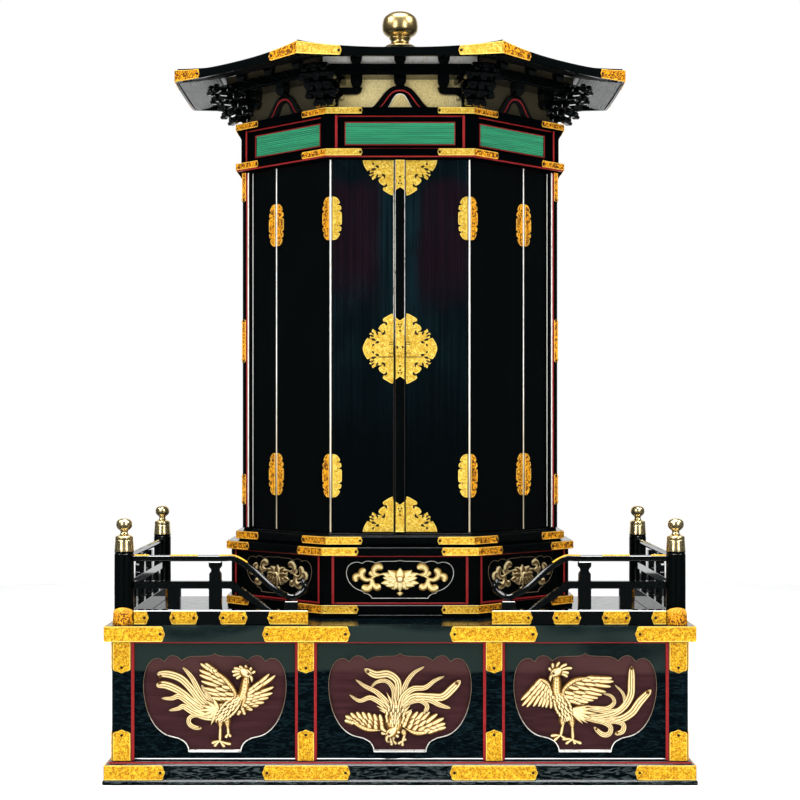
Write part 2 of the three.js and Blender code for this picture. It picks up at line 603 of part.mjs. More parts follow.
function roof() {
  const eave = eaveLine(EAVE_OFFSET, EAVE_BACK_Y);
  const [apexX, apexY, apexZ] = ROOF_APEX;
  const rise = (point, edge) => EAVE_CORNER_RISE[edge] * point.corner ** EAVE_CURVE;
  const soffit = eaveLine(SOFFIT_OFFSET, BACK_Y).map(({ x, y }) => [x, y, SOFFIT_Z]);
  const lower = eave.map((point) => [point.x, point.y, EAVE_BOTTOM + rise(point, 0)]);
  const slopes = Array.from({ length: ROOF_RINGS + 1 }, (_, i) => {
    const s = i / ROOF_RINGS * (1 - ROOF_CAP_FRACTION);
    return eave.map((point) => {
      const edgeZ = EAVE_TOP + rise(point, 1);
      const z = edgeZ + (apexZ - edgeZ) * s ** ROOF_SWEEP;
      return [point.x + (apexX - point.x) * s, point.y + (apexY - point.y) * s, z];
    });
  });
  add('roof', skin([soffit, lower, ...slopes], [apexX, apexY, SOFFIT_Z], ROOF_APEX), lacquer());
  const jewel = [[0, 1142.7], [25, 1142.7], [18.5, 1146.6], [14.8, 1151], [17.3, 1156.2], [16, 1159],
    [20, 1160.6], [24.6, 1163.4], [27.6, 1167.4], [28.8, 1172.5], [28.9, 1178.5], [28, 1184.5],
    [25.9, 1189.5], [21.6, 1194], [15, 1197.7], [7, 1199.7], [0, 1200]];
  add('jewel', turned(jewel, apexX, apexY, JEWEL_FACETS), brass());
}

platform();
phoenixes();
railing();
waist();
cabinet();
doors();
frieze();
brackets();
roof();

export default shrine;
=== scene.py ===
"""The looks of a black-lacquered cabinet shrine, built around its CAD frame.

Lengths are millimetres in the shrine's own frame (+Z up, the doors face -Y) until a piece is made, which
turns them into metres. Ornament is drawn flat on a Face, as (across, up, out), and the Face carries it to
its place.
"""

import json
import math

import bmesh
import bpy
import numpy as np
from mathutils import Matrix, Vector


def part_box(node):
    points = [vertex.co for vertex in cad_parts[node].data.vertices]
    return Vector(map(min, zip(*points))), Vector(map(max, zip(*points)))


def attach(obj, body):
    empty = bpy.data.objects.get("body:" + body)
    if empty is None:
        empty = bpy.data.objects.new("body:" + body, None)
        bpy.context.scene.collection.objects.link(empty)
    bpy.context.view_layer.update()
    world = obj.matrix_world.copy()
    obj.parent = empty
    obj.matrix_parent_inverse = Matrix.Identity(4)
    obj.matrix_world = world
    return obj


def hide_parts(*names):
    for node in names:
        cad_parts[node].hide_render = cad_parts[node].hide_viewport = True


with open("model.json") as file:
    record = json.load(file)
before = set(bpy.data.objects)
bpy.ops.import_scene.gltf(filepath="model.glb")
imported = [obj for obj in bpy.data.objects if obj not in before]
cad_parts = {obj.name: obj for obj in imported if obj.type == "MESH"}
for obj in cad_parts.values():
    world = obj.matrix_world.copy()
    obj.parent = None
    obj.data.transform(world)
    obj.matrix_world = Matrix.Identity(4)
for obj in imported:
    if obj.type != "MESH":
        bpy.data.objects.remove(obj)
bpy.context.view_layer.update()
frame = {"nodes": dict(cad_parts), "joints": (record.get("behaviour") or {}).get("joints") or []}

MM = 0.001
X, Y, Z = range(3)
UP = np.array([0.0, 0.0, 1.0])
SLANT = math.sqrt(0.5)
MITRE = math.tan(math.pi / 8)
TURN = 2 * math.pi


def low(node, axis):
    """Lower end of a CAD piece along an axis."""
    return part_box(node)[0][axis] / MM


def high(node, axis):
    """Upper end of a CAD piece along an axis."""
    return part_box(node)[1][axis] / MM


def middle_of(node, axis):
    """Middle of a CAD piece along an axis."""
    return (low(node, axis) + high(node, axis)) / 2


hinge_at = {joint["name"]: np.array(joint["pos_m"]) / MM for joint in frame["joints"]}
FRONT_HALF, FRONT_Y = hinge_at["right_front_door_hinge"][:2]
HINGE_X, HINGE_Y = hinge_at["right_side_door_hinge"][:2]
HINGE_ALONG = (HINGE_X - FRONT_HALF) / SLANT
CORNER_X = high("cabinet_back", X)
BACK_Y = high("cabinet_back", Y)
DOOR_BOTTOM = low("front_door_right", Z)
DOOR_TOP = high("front_door_right", Z)


# Faces that ornament is drawn on


class Face:
    """A flat face: a point (across, up, out) lies that far along it, above the floor and in front of it."""

    def __init__(self, origin, across, out):
        self.origin, self.across, self.out = (np.array(v, float) for v in (origin, across, out))

    def at(self, across, up, out=0.0):
        """Points of the shrine's frame from places on the face."""
        across, up, out = np.broadcast_arrays(*(np.asarray(v, float) for v in (across, up, out)))
        flat = across[..., None] * self.across + out[..., None] * self.out
        return self.origin + flat + up[..., None] * UP


def facing_front(y):
    """Face square to the doors' middle, at a depth y."""
    return Face((0, y, 0), (1, 0, 0), (0, -1, 0))


def facing_side(x):
    """Face along the right side, at a distance x from the middle."""
    return Face((x, 0, 0), (0, 1, 0), (1, 0, 0))


def front(offset):
    """Face in front, an offset ahead of the door plane, measured from the middle."""
    return facing_front(FRONT_Y - offset)


def diagonal(offset):
    """Slanting face at the right, an offset outside the door plane, measured from its mitred front corner."""
    corner = (FRONT_HALF + MITRE * offset, FRONT_Y - offset, 0)
    return Face(corner, (SLANT, SLANT, 0), (SLANT, -SLANT, 0))


def side(offset):
    """Right side face, an offset outside the cabinet's side, measured from its mitred front corner."""
    corner_y = FRONT_Y + CORNER_X - FRONT_HALF - MITRE * offset
    return Face((CORNER_X + offset, corner_y, 0), (0, 1, 0), (1, 0, 0))


def front_half(offset):
    """Half width of the front at an offset: the mitre adds its tangent times the offset."""
    return FRONT_HALF + MITRE * offset


def diagonal_length(offset):
    """Length of a slanting side at an offset: the mitre adds to both ends."""
    return (CORNER_X - FRONT_HALF) / SLANT + 2 * MITRE * offset


def plan(offset, back):
    """Corners of the half octagon at an offset, from the front left, counter-clockwise seen from above."""
    right = [(front_half(offset), FRONT_Y - offset), (CORNER_X + offset, side(offset).origin[Y]),
             (CORNER_X + offset, back)]
    return np.array([(-right[0][0], right[0][1])] + right + [(-x, y) for x, y in right[:0:-1]])


# Surfaces

MERGE = 0.004 * MM
DEGENERATE = 0.002 * MM


class Shell:
    """Collects grids of points, each a surface of two parameters, and makes one mesh piece of them."""

    def __init__(self):
        self.points, self.quads, self.tones = [], [], []
        self.total = 0

    def grid(self, points, around=False, along=False, tone=0.0):
        """Quads between neighbouring points; a closed direction joins its last row to its first."""
        rows, columns = points.shape[:2]
        index = self.total + np.arange(rows * columns).reshape(rows, columns)
        wrapped = np.concatenate([index, index[:1]]) if along else index
        wrapped = np.concatenate([wrapped, wrapped[:, :1]], axis=1) if around else wrapped
        corners = (wrapped[:-1, :-1], wrapped[1:, :-1], wrapped[1:, 1:], wrapped[:-1, 1:])
        self.points.append(points.reshape(-1, 3))
        self.quads.append(np.stack(corners, -1).reshape(-1, 4))
        self.tones.append(np.broadcast_to(tone, (rows, columns)).reshape(-1))
        self.total += rows * columns
        return index

    def sweep(self, rings, loop=False, tone=0.0):
        """A closed ring of an even number of points carried along a path; open ends are closed by rungs."""
        index = self.grid(rings, around=True, along=loop, tone=tone)
        half = index.shape[1] // 2
        for end in () if loop else (index[0], index[-1]):
            near, far = end[:half], end[::-1][:half]
            self.quads.append(np.stack([near[:-1], near[1:], far[1:], far[:-1]], -1))

    def mirror(self):
        """Adds the reflection in the plane x = 0."""
        points = np.concatenate(self.points)
        quads = np.concatenate(self.quads)
        tones = np.concatenate(self.tones)
        self.points.append(points * (-1, 1, 1))
        self.quads.append(quads[:, ::-1] + self.total)
        self.tones.append(tones)
        self.total *= 2
        return self

    def flipped(self):
        """Becomes its reflection in the plane x = 0; piece() turns its faces outwards again."""
        self.points = [points * (-1, 1, 1) for points in self.points]
        return self

    def piece(self, name, finish, slot, body="shrine", replaces=(), crease=38):
        """Makes the object: merges the seams, turns the faces outwards and creases edges past an angle."""
        points = np.concatenate(self.points) * MM
        quads = np.concatenate(self.quads)
        mesh = bpy.data.meshes.new(name)
        mesh.vertices.add(len(points))
        mesh.vertices.foreach_set("co", points.ravel().astype(np.float32))
        mesh.loops.add(quads.size)
        mesh.loops.foreach_set("vertex_index", quads.ravel().astype(np.int32))
        mesh.polygons.add(len(quads))
        mesh.polygons.foreach_set("loop_start", np.arange(0, quads.size, 4, dtype=np.int32))
        tone = mesh.attributes.new("tone", "FLOAT", "POINT")
        tone.data.foreach_set("value", np.concatenate(self.tones).astype(np.float32))
        mesh.update(calc_edges=True)
        shell = bmesh.new()
        shell.from_mesh(mesh)
        bmesh.ops.remove_doubles(shell, verts=shell.verts, dist=MERGE)
        bmesh.ops.dissolve_degenerate(shell, dist=DEGENERATE, edges=shell.edges)
        bmesh.ops.recalc_face_normals(shell, faces=shell.faces)
        shell.to_mesh(mesh)
        shell.free()
        mesh.shade_smooth()
        mesh.set_sharp_from_angle(angle=math.radians(crease))
        mesh.materials.append(finish)
        made = bpy.data.objects.new(name, mesh)
        bpy.context.collection.objects.link(made)
        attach(made, body)
        if replaces:
            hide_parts(*replaces)
        return made


def shells(count):
    """Empty shells, one for each piece that is drawn together."""
    return [Shell() for _ in range(count)]


def joined(*parts):
    """Points from their coordinates, each an array or a single value."""
    return np.stack(np.broadcast_arrays(*parts), -1)


def gilt_pieces(*rows):
    """Makes gilt fittings that both sides have alike: rows of shell, piece name and finish."""
    for shell, name, finish in rows:
        shell.mirror().piece(name, finish, "gilt_fitting")


def spline(points, count):
    """Smooth line through points: cubic spans whose slope at a point follows its two neighbours."""
    points = np.asarray(points, float)
    padded = np.concatenate([2 * points[:1] - points[1:2], points, 2 * points[-1:] - points[-2:-1]])
    t = np.linspace(0, len(points) - 1, count)
    i = np.minimum(t.astype(int), len(points) - 2)
    s = (t - i)[:, None]
    before, first, second, after = (padded[i + k] for k in range(4))
    slopes = (s**3 - 2 * s**2 + s) * (second - before) / 2 + (s**3 - s**2) * (after - first) / 2
    return (2 * s**3 - 3 * s**2 + 1) * first + (3 * s**2 - 2 * s**3) * second + slopes


def cusped_line(runs, density):
    """Smooth runs that meet at cusps: each starts where the one before it stops."""
    linked = [runs[0]] + [before[-1:] + run for before, run in zip(runs, runs[1:])]
    return np.concatenate([spline(run, density * len(run))[:-1] for run in linked] + [runs[-1][-1:]])


def turned(shell, profile, x, y, segments=48):
    """Round piece: a profile of (radius, height) carried round a vertical axis; radius 0 closes an end."""
    profile = np.asarray(profile, float)
    angle = np.linspace(0, TURN, segments, endpoint=False)
    radius, height = profile[:, :1], profile[:, 1:]
    shell.grid(joined(x + radius * np.cos(angle), y + radius * np.sin(angle), height), around=True)


def tube(shell, path, radius, normal, sides=16):
    """Round bar: a circle carried along a path that lies square to the given normal."""
    tangent = np.gradient(path, axis=0)
    tangent /= np.linalg.norm(tangent, axis=1, keepdims=True)
    normal = np.broadcast_to(np.array(normal, float), path.shape)
    other = np.cross(tangent, normal)
    angle = (np.arange(sides) + 0.5) / sides * TURN
    radius = np.broadcast_to(radius, len(path))[:, None, None]
    ring = np.cos(angle)[:, None] * normal[:, None] + np.sin(angle)[:, None] * other[:, None]
    shell.sweep(path[:, None] + radius * ring)


def bar(shell, face, across, up, out, ease=0.6):
    """Squared bar with eased edges: a chamfered rectangle carried along the face, drawn in at both ends."""
    mid_up, half_up = (up[0] + up[1]) / 2, (up[1] - up[0]) / 2
    mid_out, half_out = (out[0] + out[1]) / 2, (out[1] - out[0]) / 2
    e_up, e_out = half_up - ease, half_out - ease
    ring_up = np.array([-half_up, -half_up, -e_up, e_up, half_up, half_up, e_up, -e_up])
    ring_out = np.array([-e_out, e_out, half_out, half_out, e_out, -e_out, -half_out, -half_out])
    stations = np.array([across[0], across[0] + ease, across[1] - ease, across[1]])[:, None]
    end = np.array([1, 0, 0, 1])[:, None]
    up_scale = 1 - end * ease / half_up
    out_scale = 1 - end * ease / half_out
    shell.sweep(face.at(stations, mid_up + ring_up * up_scale, mid_out + ring_out * out_scale))


def fitting(shell, face, left, right, profile, loop=False):
    """Sheet between two edge lines: a profile of (inset, out, tone) runs in from both to the middle."""
    left, right = np.asarray(left, float), np.asarray(right, float)
    inset, rise, tone = np.array(profile, float).T
    gap = np.linalg.norm(right - left, axis=1)[:, None]
    share = np.minimum(inset, gap * 0.5) / np.maximum(gap, 1e-6)
    shares = np.concatenate([share, 1 - share[:, ::-1]], axis=1)[..., None]
    flat = left[:, None] * (1 - shares) + right[:, None] * shares
    rises = np.concatenate([rise, rise[::-1]])
    rings = face.at(flat[..., 0], flat[..., 1], rises)
    shell.sweep(rings, loop=loop, tone=np.concatenate([tone, tone[::-1]]))


# Profile of a gilt sheet: its edge, a raised smooth rim, then the ground inside
RIMMED = [(0, -0.4, 0.0), (0, 0.8, 0.7), (0.35, 1.25, 1.0), (1.0, 1.25, 1.0), (1.5, 0.85, 0.0)]


def eased(back, face_out, ease):
    """Profile of a flat strip with eased edges, from its back to its face."""
    return [(0, back, 0), (0, face_out - ease, 0), (ease, face_out, 0)]


# Shares of a plate's half width: how deep its cusped end is cut, and how far in its nail lies
BRACE_DEPTH = 0.52
NAIL_INSET = 0.62
# Share of the cusped end that its low point takes up
BRACE_POINT = 0.4
# Which ends of a plate are cusped
START, STOP, BOTH = (True, False), (False, True), (True, True)
NAIL_RADIUS = 2.2
NAIL_OUT = 0.7


def brace_end(distance, depth):
    """Half width near a plate's blunt cusped end, as a share: a low point, a notch, then a round shoulder."""
    x = np.clip(distance / depth, 0, 1)
    point = np.clip(x / BRACE_POINT, 0, 1) ** 0.8
    further = np.clip((x - BRACE_POINT) / (1 - BRACE_POINT), 0, 1)
    shoulder = np.sqrt(np.clip(1 - (1 - further) ** 2, 0, 1))
    return np.maximum(0.5 * point + 0.5 * shoulder, 0.05)


def plate(shell, nails, face, span, middle, half, ends, upright=False):
    """Gilt plate along a band or post: its half width falls to a cusped point at each end marked in ends.

    middle and half may be functions of the place along the plate, for a band that curves."""
    start, stop = span
    level = middle if callable(middle) else (lambda a: middle)
    reach = half if callable(half) else (lambda a: half)
    broad = float(reach(np.array(start)))
    depth = BRACE_DEPTH * broad
    run = depth * np.linspace(0, 1, 14) ** 1.4
    between = np.linspace(start + depth, stop - depth, 5)[1:-1]
    along = np.concatenate([start + run, between, stop - run[::-1]])
    share = np.ones_like(along)
    for cusped, distance in zip(ends, (along - start, stop - along)):
        if cusped:
            share = np.minimum(share, brace_end(distance, depth))
    centre, width = level(along), reach(along) * share
    edges = [joined(along, centre - width), joined(along, centre + width)]
    if upright:
        edges = [edge[:, ::-1] for edge in edges]
    fitting(shell, face, *edges, RIMMED)
    nail_in = NAIL_INSET * broad
    for cusped, spot in zip(ends, (start + nail_in, stop - nail_in)):
        if cusped:
            centre = float(level(np.array(spot)))
            nail(nails, face, *((centre, spot) if upright else (spot, centre)), NAIL_OUT)


def nail(shell, face, across, up, out, radius=NAIL_RADIUS, tone=0.0):
    """Domed nail head: a quarter circle carried round, closed behind."""
    turn = np.linspace(0, TURN, 10, endpoint=False)
    lift = np.linspace(0, math.pi / 2, 4)
    radii = radius * np.concatenate([[0, 1], np.cos(lift)])[:, None]
    rises = np.concatenate([[-0.3, -0.3], 0.3 + 0.7 * radius * np.sin(lift)])[:, None]
    points = face.at(across + radii * np.cos(turn), up + radii * np.sin(turn), out + rises)
    shell.grid(points, around=True, tone=tone)


BEAD_SIDES = 6


def bead(shell, face, outline, thin, thick, out=0.0):
    """Fine round line along a closed outline on a face, thin at its top and thicker towards its foot."""
    share = (outline[:, 1].max() - outline[:, 1]) / np.ptp(outline[:, 1])
    radius = (thin + (thick - thin) * share**2)[:, None]
    ahead = np.roll(outline, -1, axis=0) - np.roll(outline, 1, axis=0)
    ahead /= np.maximum(np.linalg.norm(ahead, axis=1, keepdims=True), 1e-9)
    normal = joined(-ahead[:, 1], ahead[:, 0])
    angle = np.arange(BEAD_SIDES) / BEAD_SIDES * TURN
    flat = outline[:, None] + (radius * np.cos(angle))[..., None] * normal[:, None]
    shell.sweep(face.at(flat[..., 0], flat[..., 1], out + radius * np.sin(angle)), loop=True)


# Places across a feather: nine along its crowned front, then three along its flat back
PLUME_ACROSS = np.array([-1, -0.84, -0.5, -0.14, 0, 0.14, 0.5, 0.84, 1, 0.5, 0, -0.5])
PLUME_FRONT = np.array([1] * 9 + [0] * 3)
# Tone across a feather, as painted light: its edges and groove are painted shade, its crowns a painted
# highlight
PLUME_PAINTED_LIGHT = np.array([0, 0, 0.38, 1, 0.5, 1, 0.38, 0, 0, 0, 0, 0])
PLUME_FORMS = {
    "leaf": lambda t: np.sin(np.pi * (0.05 + 0.95 * t) ** 0.72),
    "ribbon": lambda t: (0.7 + 0.3 * t) * np.sqrt(1 - t**9),
    "blade": lambda t: np.sqrt(1 - t**6) * (0.5 + 0.5 * np.minimum(1, 3 * t)),
    "whip": lambda t: (1 - 0.5 * t**1.5) * np.sqrt(1 - t**8),
    "comma": lambda t: (0.38 + 0.62 * t**1.2) * np.sqrt(1 - np.clip((t - 0.68) / 0.32, 0, 1) ** 2),
}
BARB_PITCH = 4.2
BENT_POINTS = 7


def flat_normals(path):
    """Unit vectors square to a flat path: its direction turned a quarter to the left."""
    ahead = np.gradient(path, axis=0)
    return ahead[:, ::-1] * (-1, 1) / np.linalg.norm(ahead, axis=1, keepdims=True)


def bent(root, tip, bend):
    """Points on an arc of even bend, in degrees, from a root to a tip; no bend is a straight line."""
    root, tip = np.array(root, float), np.array(tip, float)
    turn = math.radians(bend) or 1e-4
    start = math.atan2(*(tip - root)[::-1]) - turn / 2
    length = np.hypot(*(tip - root)) * (turn / 2) / math.sin(turn / 2)
    angle = start + turn * np.linspace(0, 1, BENT_POINTS)
    swing = joined(np.sin(angle) - np.sin(start), np.cos(start) - np.cos(angle))
    return root + length / turn * swing


def plume(shell, face, path, width, form, rise, base, lift=0.0, barbs=0.0):
    """Feather, petal or leaf along a smooth path, its half width following the form.

    Across, it is a dome with a groove on its middle; barbs ripple it in slanting ridges; lift raises its
    tip."""
    path = np.asarray(path, float)
    length = np.linalg.norm(np.diff(path, axis=0), axis=1).sum()
    steps = int(12 + (length if barbs else 0.3 * length))
    path = spline(path, steps)
    normal = flat_normals(path)
    t = np.linspace(0, 1, steps)
    shape = PLUME_FORMS[form](t)
    s = PLUME_ACROSS
    reach = width / 2 * np.maximum(shape, 0.03)[:, None] * s
    flat = path[:, None] + normal[:, None] * reach[..., None]
    dome = np.sqrt(np.clip(1 - s**2, 0, 1)) - 0.25 * np.exp(-((s / 0.1) ** 2))
    ridge = np.sin(TURN * (t[:, None] * length / BARB_PITCH - 1.1 * np.abs(s)))
    swell = np.sqrt(np.clip(shape / shape.max(), 0, 1))[:, None]
    crown = rise * dome * swell + barbs * ridge * (1 - s**2)
    out = base + lift * t[:, None] + crown * PLUME_FRONT - 0.6 * (1 - PLUME_FRONT)
    # Barbs lower the tone in their troughs: painted shade between the ridges
    tone = PLUME_PAINTED_LIGHT * (1 - min(0.7, 1.6 * barbs) * (0.5 - 0.5 * ridge))
    shell.sweep(face.at(flat[..., 0], flat[..., 1], out), tone=tone)


# Finishes


class Wire:
    """A shader socket that takes part in Python sums; each operator adds a Math node."""

    def __init__(self, finish, socket):
        self.finish, self.socket = finish, socket

    def math(self, operation, *values):
        """The result of a Math node on these values."""
        return self.finish.node("Math", {"operation": operation}, dict(enumerate(values)))

    def __add__(self, other):
        return self.math("ADD", self, other)

    def __sub__(self, other):
        return self.math("SUBTRACT", self, other)

    def __rsub__(self, other):
        return self.math("SUBTRACT", other, self)

    def __mul__(self, other):
        return self.math("MULTIPLY", self, other)

    __radd__ = __add__
    __rmul__ = __mul__

    def sine(self):
        """Sine of the value, in radians."""
        return self.math("SINE", self)

    def size(self):
        """The value without its sign."""
        return self.math("ABSOLUTE", self)


class Finish:
    """A procedural surface finish; constants are set on the shader, and wires feed what varies."""

    def __init__(self, name, sheen=0.5, metallic=0.0):
        self.material = bpy.data.materials.new(name)
        self.material.use_nodes = True
        self.tree = self.material.node_tree
        self.shader = self.tree.nodes["Principled BSDF"]
        self.shader.inputs["Specular IOR Level"].default_value = sheen
        self.shader.inputs["Metallic"].default_value = metallic

    def node(self, kind, settings=None, inputs=None, output=0):
        """Any node: its settings are set first, then its sockets get a wire or a value."""
        made = self.tree.nodes.new("ShaderNode" + kind)
        for key, value in (settings or {}).items():
            setattr(made, key, value)
        for key, value in (inputs or {}).items():
            if isinstance(value, Wire):
                self.tree.links.new(value.socket, made.inputs[key])
            else:
                made.inputs[key].default_value = value
        return Wire(self, made.outputs[output])

    def place(self, stretch=(1, 1, 1)):
        """Object coordinates in millimetres, divided by a stretch along each axis."""
        where = self.node("TexCoord", output="Object")
        scale = [1 / (MM * s) for s in stretch]
        return self.node("Mapping", {}, {"Vector": where, "Scale": scale})

    def axis(self, which):
        """One object coordinate, in millimetres."""
        return self.node("SeparateXYZ", {}, {0: self.place()}, output=which)

    def tone(self):
        """The tone that the mesh carries: high on rims and crowns."""
        return self.node("Attribute", {"attribute_name": "tone"}, output="Fac")

    def noise(self, size, stretch=(1, 1, 1), detail=2.0, distortion=0.0):
        """Cloudy noise whose blots are about the given size, drawn out along the axes by a stretch."""
        inputs = {"Vector": self.place(stretch), "Scale": 1 / size, "Detail": detail,
                  "Distortion": distortion}
        return self.node("TexNoise", {}, inputs)

    def ragged_height(self):
        """Height over the floor, waved by up to 22 mm in long level blots."""
        return self.axis(Z) + 22 * self.noise(70, stretch=(2, 1, 1), detail=3)

    def blend(self, factor, first, second):
        """Colour between two: none of the second where the factor is 0, all of it where it is 1."""
        pair = {0: factor, 6: first, 7: second}
        pair = {key: (*value, 1) if isinstance(value, tuple) else value for key, value in pair.items()}
        return self.node("Mix", {"data_type": "RGBA"}, pair, output=2)

    def ramp(self, value, low_end, high_end):
        """Smooth step from 0 at the low end to 1 at the high end."""
        inputs = {"Value": value, "From Min": low_end, "From Max": high_end}
        return self.node("MapRange", {"interpolation_type": "SMOOTHSTEP"}, inputs)

    def blots(self, size, low_end, high_end, **noise):
        """Noise with its middle levels drawn out by a smooth step."""
        return self.ramp(self.noise(size, **noise), low_end, high_end)

    def made(self, colour, roughness, metallic=None, relief=None):
        """Feeds what varies to the shader; relief is a height with its depth in millimetres and strength."""
        fed = {"Base Color": colour, "Roughness": roughness}
        if metallic:
            fed["Metallic"] = metallic
        if relief:
            height, depth, strength = relief
            inputs = {"Height": height, "Distance": depth * MM, "Strength": strength}
            fed["Normal"] = self.node("Bump", {}, inputs)
        for socket, wire in fed.items():
            self.tree.links.new(wire.socket, self.shader.inputs[socket])
        return self.material


# Strength of the mirror reflection: on lacquer, on the roundest lacquered pieces and on gold leaf
SHEEN = 0.2
GLOSS = 1.0
LEAF_SHEEN = 0.15
LEAF_SQUARE = 45


def lacquer(name, sheen, roughness=0.1):
    """Polished black lacquer: a cloudy ground, fine orange-peel and wiping marks."""
    finish = Finish(name, sheen)
    marks = finish.noise(6, stretch=(1, 1, 14), detail=3)
    colour = finish.blend(finish.noise(70, detail=3), (0.0003, 0.0007, 0.0008), (0.0010, 0.0018, 0.0020))
    peel = finish.noise(9, detail=1)
    return finish.made(colour, roughness * (1 + marks + 0.5 * finish.noise(1.5)), relief=(peel, 0.05, 0.3))


def door_lacquer():
    """Door lacquer: teal black in fine upright streaks, tealest at a leaf's edges, plum above its middle."""
    finish = Finish("door_lacquer", SHEEN)
    streaks = finish.blots(4, 0.35, 0.75, stretch=(1, 1, 60), detail=4)
    ragged = finish.axis(Z) + 90 * (finish.noise(45, stretch=(1, 1, 2.5), detail=3) - 0.5)
    across = finish.axis(X).size() + 30 * (finish.noise(40, stretch=(1, 1, 3), detail=3) - 0.5)
    inside = finish.ramp(across, 20, 44) * (1 - finish.ramp(across, 96, 122))
    plum = finish.ramp(ragged, 690, 790) * (1 - finish.ramp(ragged, 890, 925)) * inside
    clouds = finish.blots(38, 0.38, 0.7, stretch=(1, 1, 2), detail=4)
    lively = finish.ramp(ragged, 470, 720) * (0.25 + 0.4 * clouds + 0.5 * (1 - inside))
    teal = (0.35 + 0.65 * streaks) * lively
    ground = finish.blend(teal, (0.0005, 0.0014, 0.0018), (0.0034, 0.0130, 0.0180))
    colour = finish.blend(plum * (0.5 + 0.5 * streaks), ground, (0.0090, 0.0030, 0.0062))
    return finish.made(colour, 0.1 + 0.12 * streaks, relief=(finish.noise(9, detail=1), 0.05, 0.3))


def board_lacquer(name, painted_ripple_reflection):
    """Platform boards' lacquer: nearly black; level ripples and a grey green ragged top in front are painted
    reflection.
    """
    finish = Finish(name, SHEEN)
    ripple = finish.blots(3.8, 0.46, 0.64, stretch=(4, 1, 1), detail=3, distortion=1.2)
    # Paler crests of the ripples: a painted reflection
    ground = finish.blend(ripple, (0.0004, 0.0020, 0.0030), painted_ripple_reflection)
    patches = finish.blots(60, 0.34, 0.5, stretch=(3, 1, 1), detail=2)
    ahead = finish.ramp(finish.axis(Y), -190, -205)
    # Grey green ragged top part of the front faces: a painted reflection
    top = finish.ramp(finish.ragged_height(), 173, 179) * (0.3 + 0.7 * patches) * ahead
    colour = finish.blend(top, ground, (0.0135, 0.0225, 0.0200))
    return finish.made(colour, 0.1 + 0.1 * ripple, relief=(ripple, 0.06, 0.3))


def maroon_lacquer():
    """Satin maroon ground behind the carvings: fine grain lines along it, paler in a ragged top part."""
    finish = Finish("maroon_ground", LEAF_SHEEN)
    grain = finish.noise(5, stretch=(9, 1, 1), detail=4)
    lines = finish.ramp(grain, 0.3, 0.7)
    ground = finish.blend(lines, (0.030, 0.0072, 0.0088), (0.047, 0.0120, 0.0140))
    colour = finish.blend(finish.ramp(finish.ragged_height(), 168, 180), ground, (0.062, 0.0225, 0.0215))
    return finish.made(colour, 0.32 + 0.2 * grain, relief=(grain, 0.08, 0.4))


def vermilion():
    """Vermilion lacquer, a little darker where it is thin."""
    finish = Finish("vermilion_lacquer", SHEEN)
    thick = finish.noise(14, detail=3)
    colour = finish.blend(thick, (0.21, 0.0110, 0.0125), (0.33, 0.0200, 0.0205))
    return finish.made(colour, 0.25 + 0.2 * finish.noise(4))


def slat_green():
    """Green paint on fine slats: varied from slat to slat, worn pale on the edges."""
    finish = Finish("green_slats", SHEEN)
    shade = finish.noise(3, stretch=(30, 30, 1), detail=2)
    ground = finish.blend(finish.ramp(shade, 0.3, 0.7), (0.008, 0.17, 0.076), (0.026, 0.31, 0.145))
    return finish.made(finish.blend(finish.tone() * 0.35, ground, (0.08, 0.45, 0.25)), 0.42 + 0.2 * shade)


def punched_gilt(name, depth, dull, bright, pale):
    """Gilt sheet with a punched ground: orange flecks, fewer brown ones, pale ones that are painted glints,
    and a pale smooth rim.

    depth is the share of the flecks' colour that shows."""
    finish = Finish(name, LEAF_SHEEN)
    flecks = finish.blots(2.5, 0.47, 0.53, detail=1, distortion=0.6)
    pits = finish.blots(3.2, 0.60, 0.64, detail=1, distortion=0.6)
    # Pale flecks: painted glints of the punched ground
    lights = finish.blots(3.6, 0.53, 0.59, detail=1, distortion=1.0)
    wash = finish.noise(26, detail=3)
    ground = finish.blend(finish.ramp(wash, 0.3, 0.7), dull, bright)
    ground = finish.blend(flecks * 0.85 * depth, ground, (0.40, 0.15, 0.002))
    ground = finish.blend(lights * 0.65, ground, pale)
    ground = finish.blend(pits * 0.7 * depth, ground, (0.18, 0.060, 0.002))
    colour = finish.blend(finish.tone() * 0.8, ground, (0.84, 0.62, 0.13))
    return finish.made(colour, 0.38 + 0.2 * flecks, 0.06 + 0.1 * wash, (1 - flecks, 0.25, 0.5))


def engraved_gilt():
    """Deep orange gilt sheet engraved with curling scrolls: dark lines follow the levels of a slow swirl."""
    finish = Finish("engraved_gilt", LEAF_SHEEN)
    swirl = finish.noise(7.5, detail=0.5, distortion=1.8)
    lines = finish.ramp((swirl * 17).sine(), -0.1, 0.35)
    inside = (1 - finish.tone()) * lines
    ground = finish.blend(finish.noise(12, detail=3), (0.84, 0.29, 0.005), (0.98, 0.48, 0.022))
    ground = finish.blend(finish.tone() * 0.7, ground, (0.90, 0.54, 0.10))
    colour = finish.blend(inside * 0.95, ground, (0.10, 0.026, 0.002))
    return finish.made(colour, 0.34 + 0.25 * inside, 0.16 - 0.12 * inside, (1 - inside, 0.35, 0.7))


def leaf_on_carving(name, pale, warm, brown):
    """Gold leaf on carved wood: pale crowns as painted highlight, warm slopes, brown hollows as brown wash
    and painted shade.
    """
    finish = Finish(name, LEAF_SHEEN)
    worn = 0.3 * (finish.noise(5, detail=3) - 0.5)
    # Pale crowns: painted highlight. Brown hollows: partly a brown wash, partly painted shade.
    crown = finish.ramp(finish.tone() + worn, 0.4, 0.85)
    hollow = 1 - finish.ramp(finish.tone() + 0.5 * worn, 0.12, 0.5)
    colour = finish.blend(hollow * 0.95, finish.blend(crown, warm, pale), brown)
    grain = finish.noise(1.6, detail=3)
    return finish.made(colour, 0.34 + 0.2 * finish.noise(3), 0.2 - 0.15 * hollow, (grain, 0.12, 0.5))


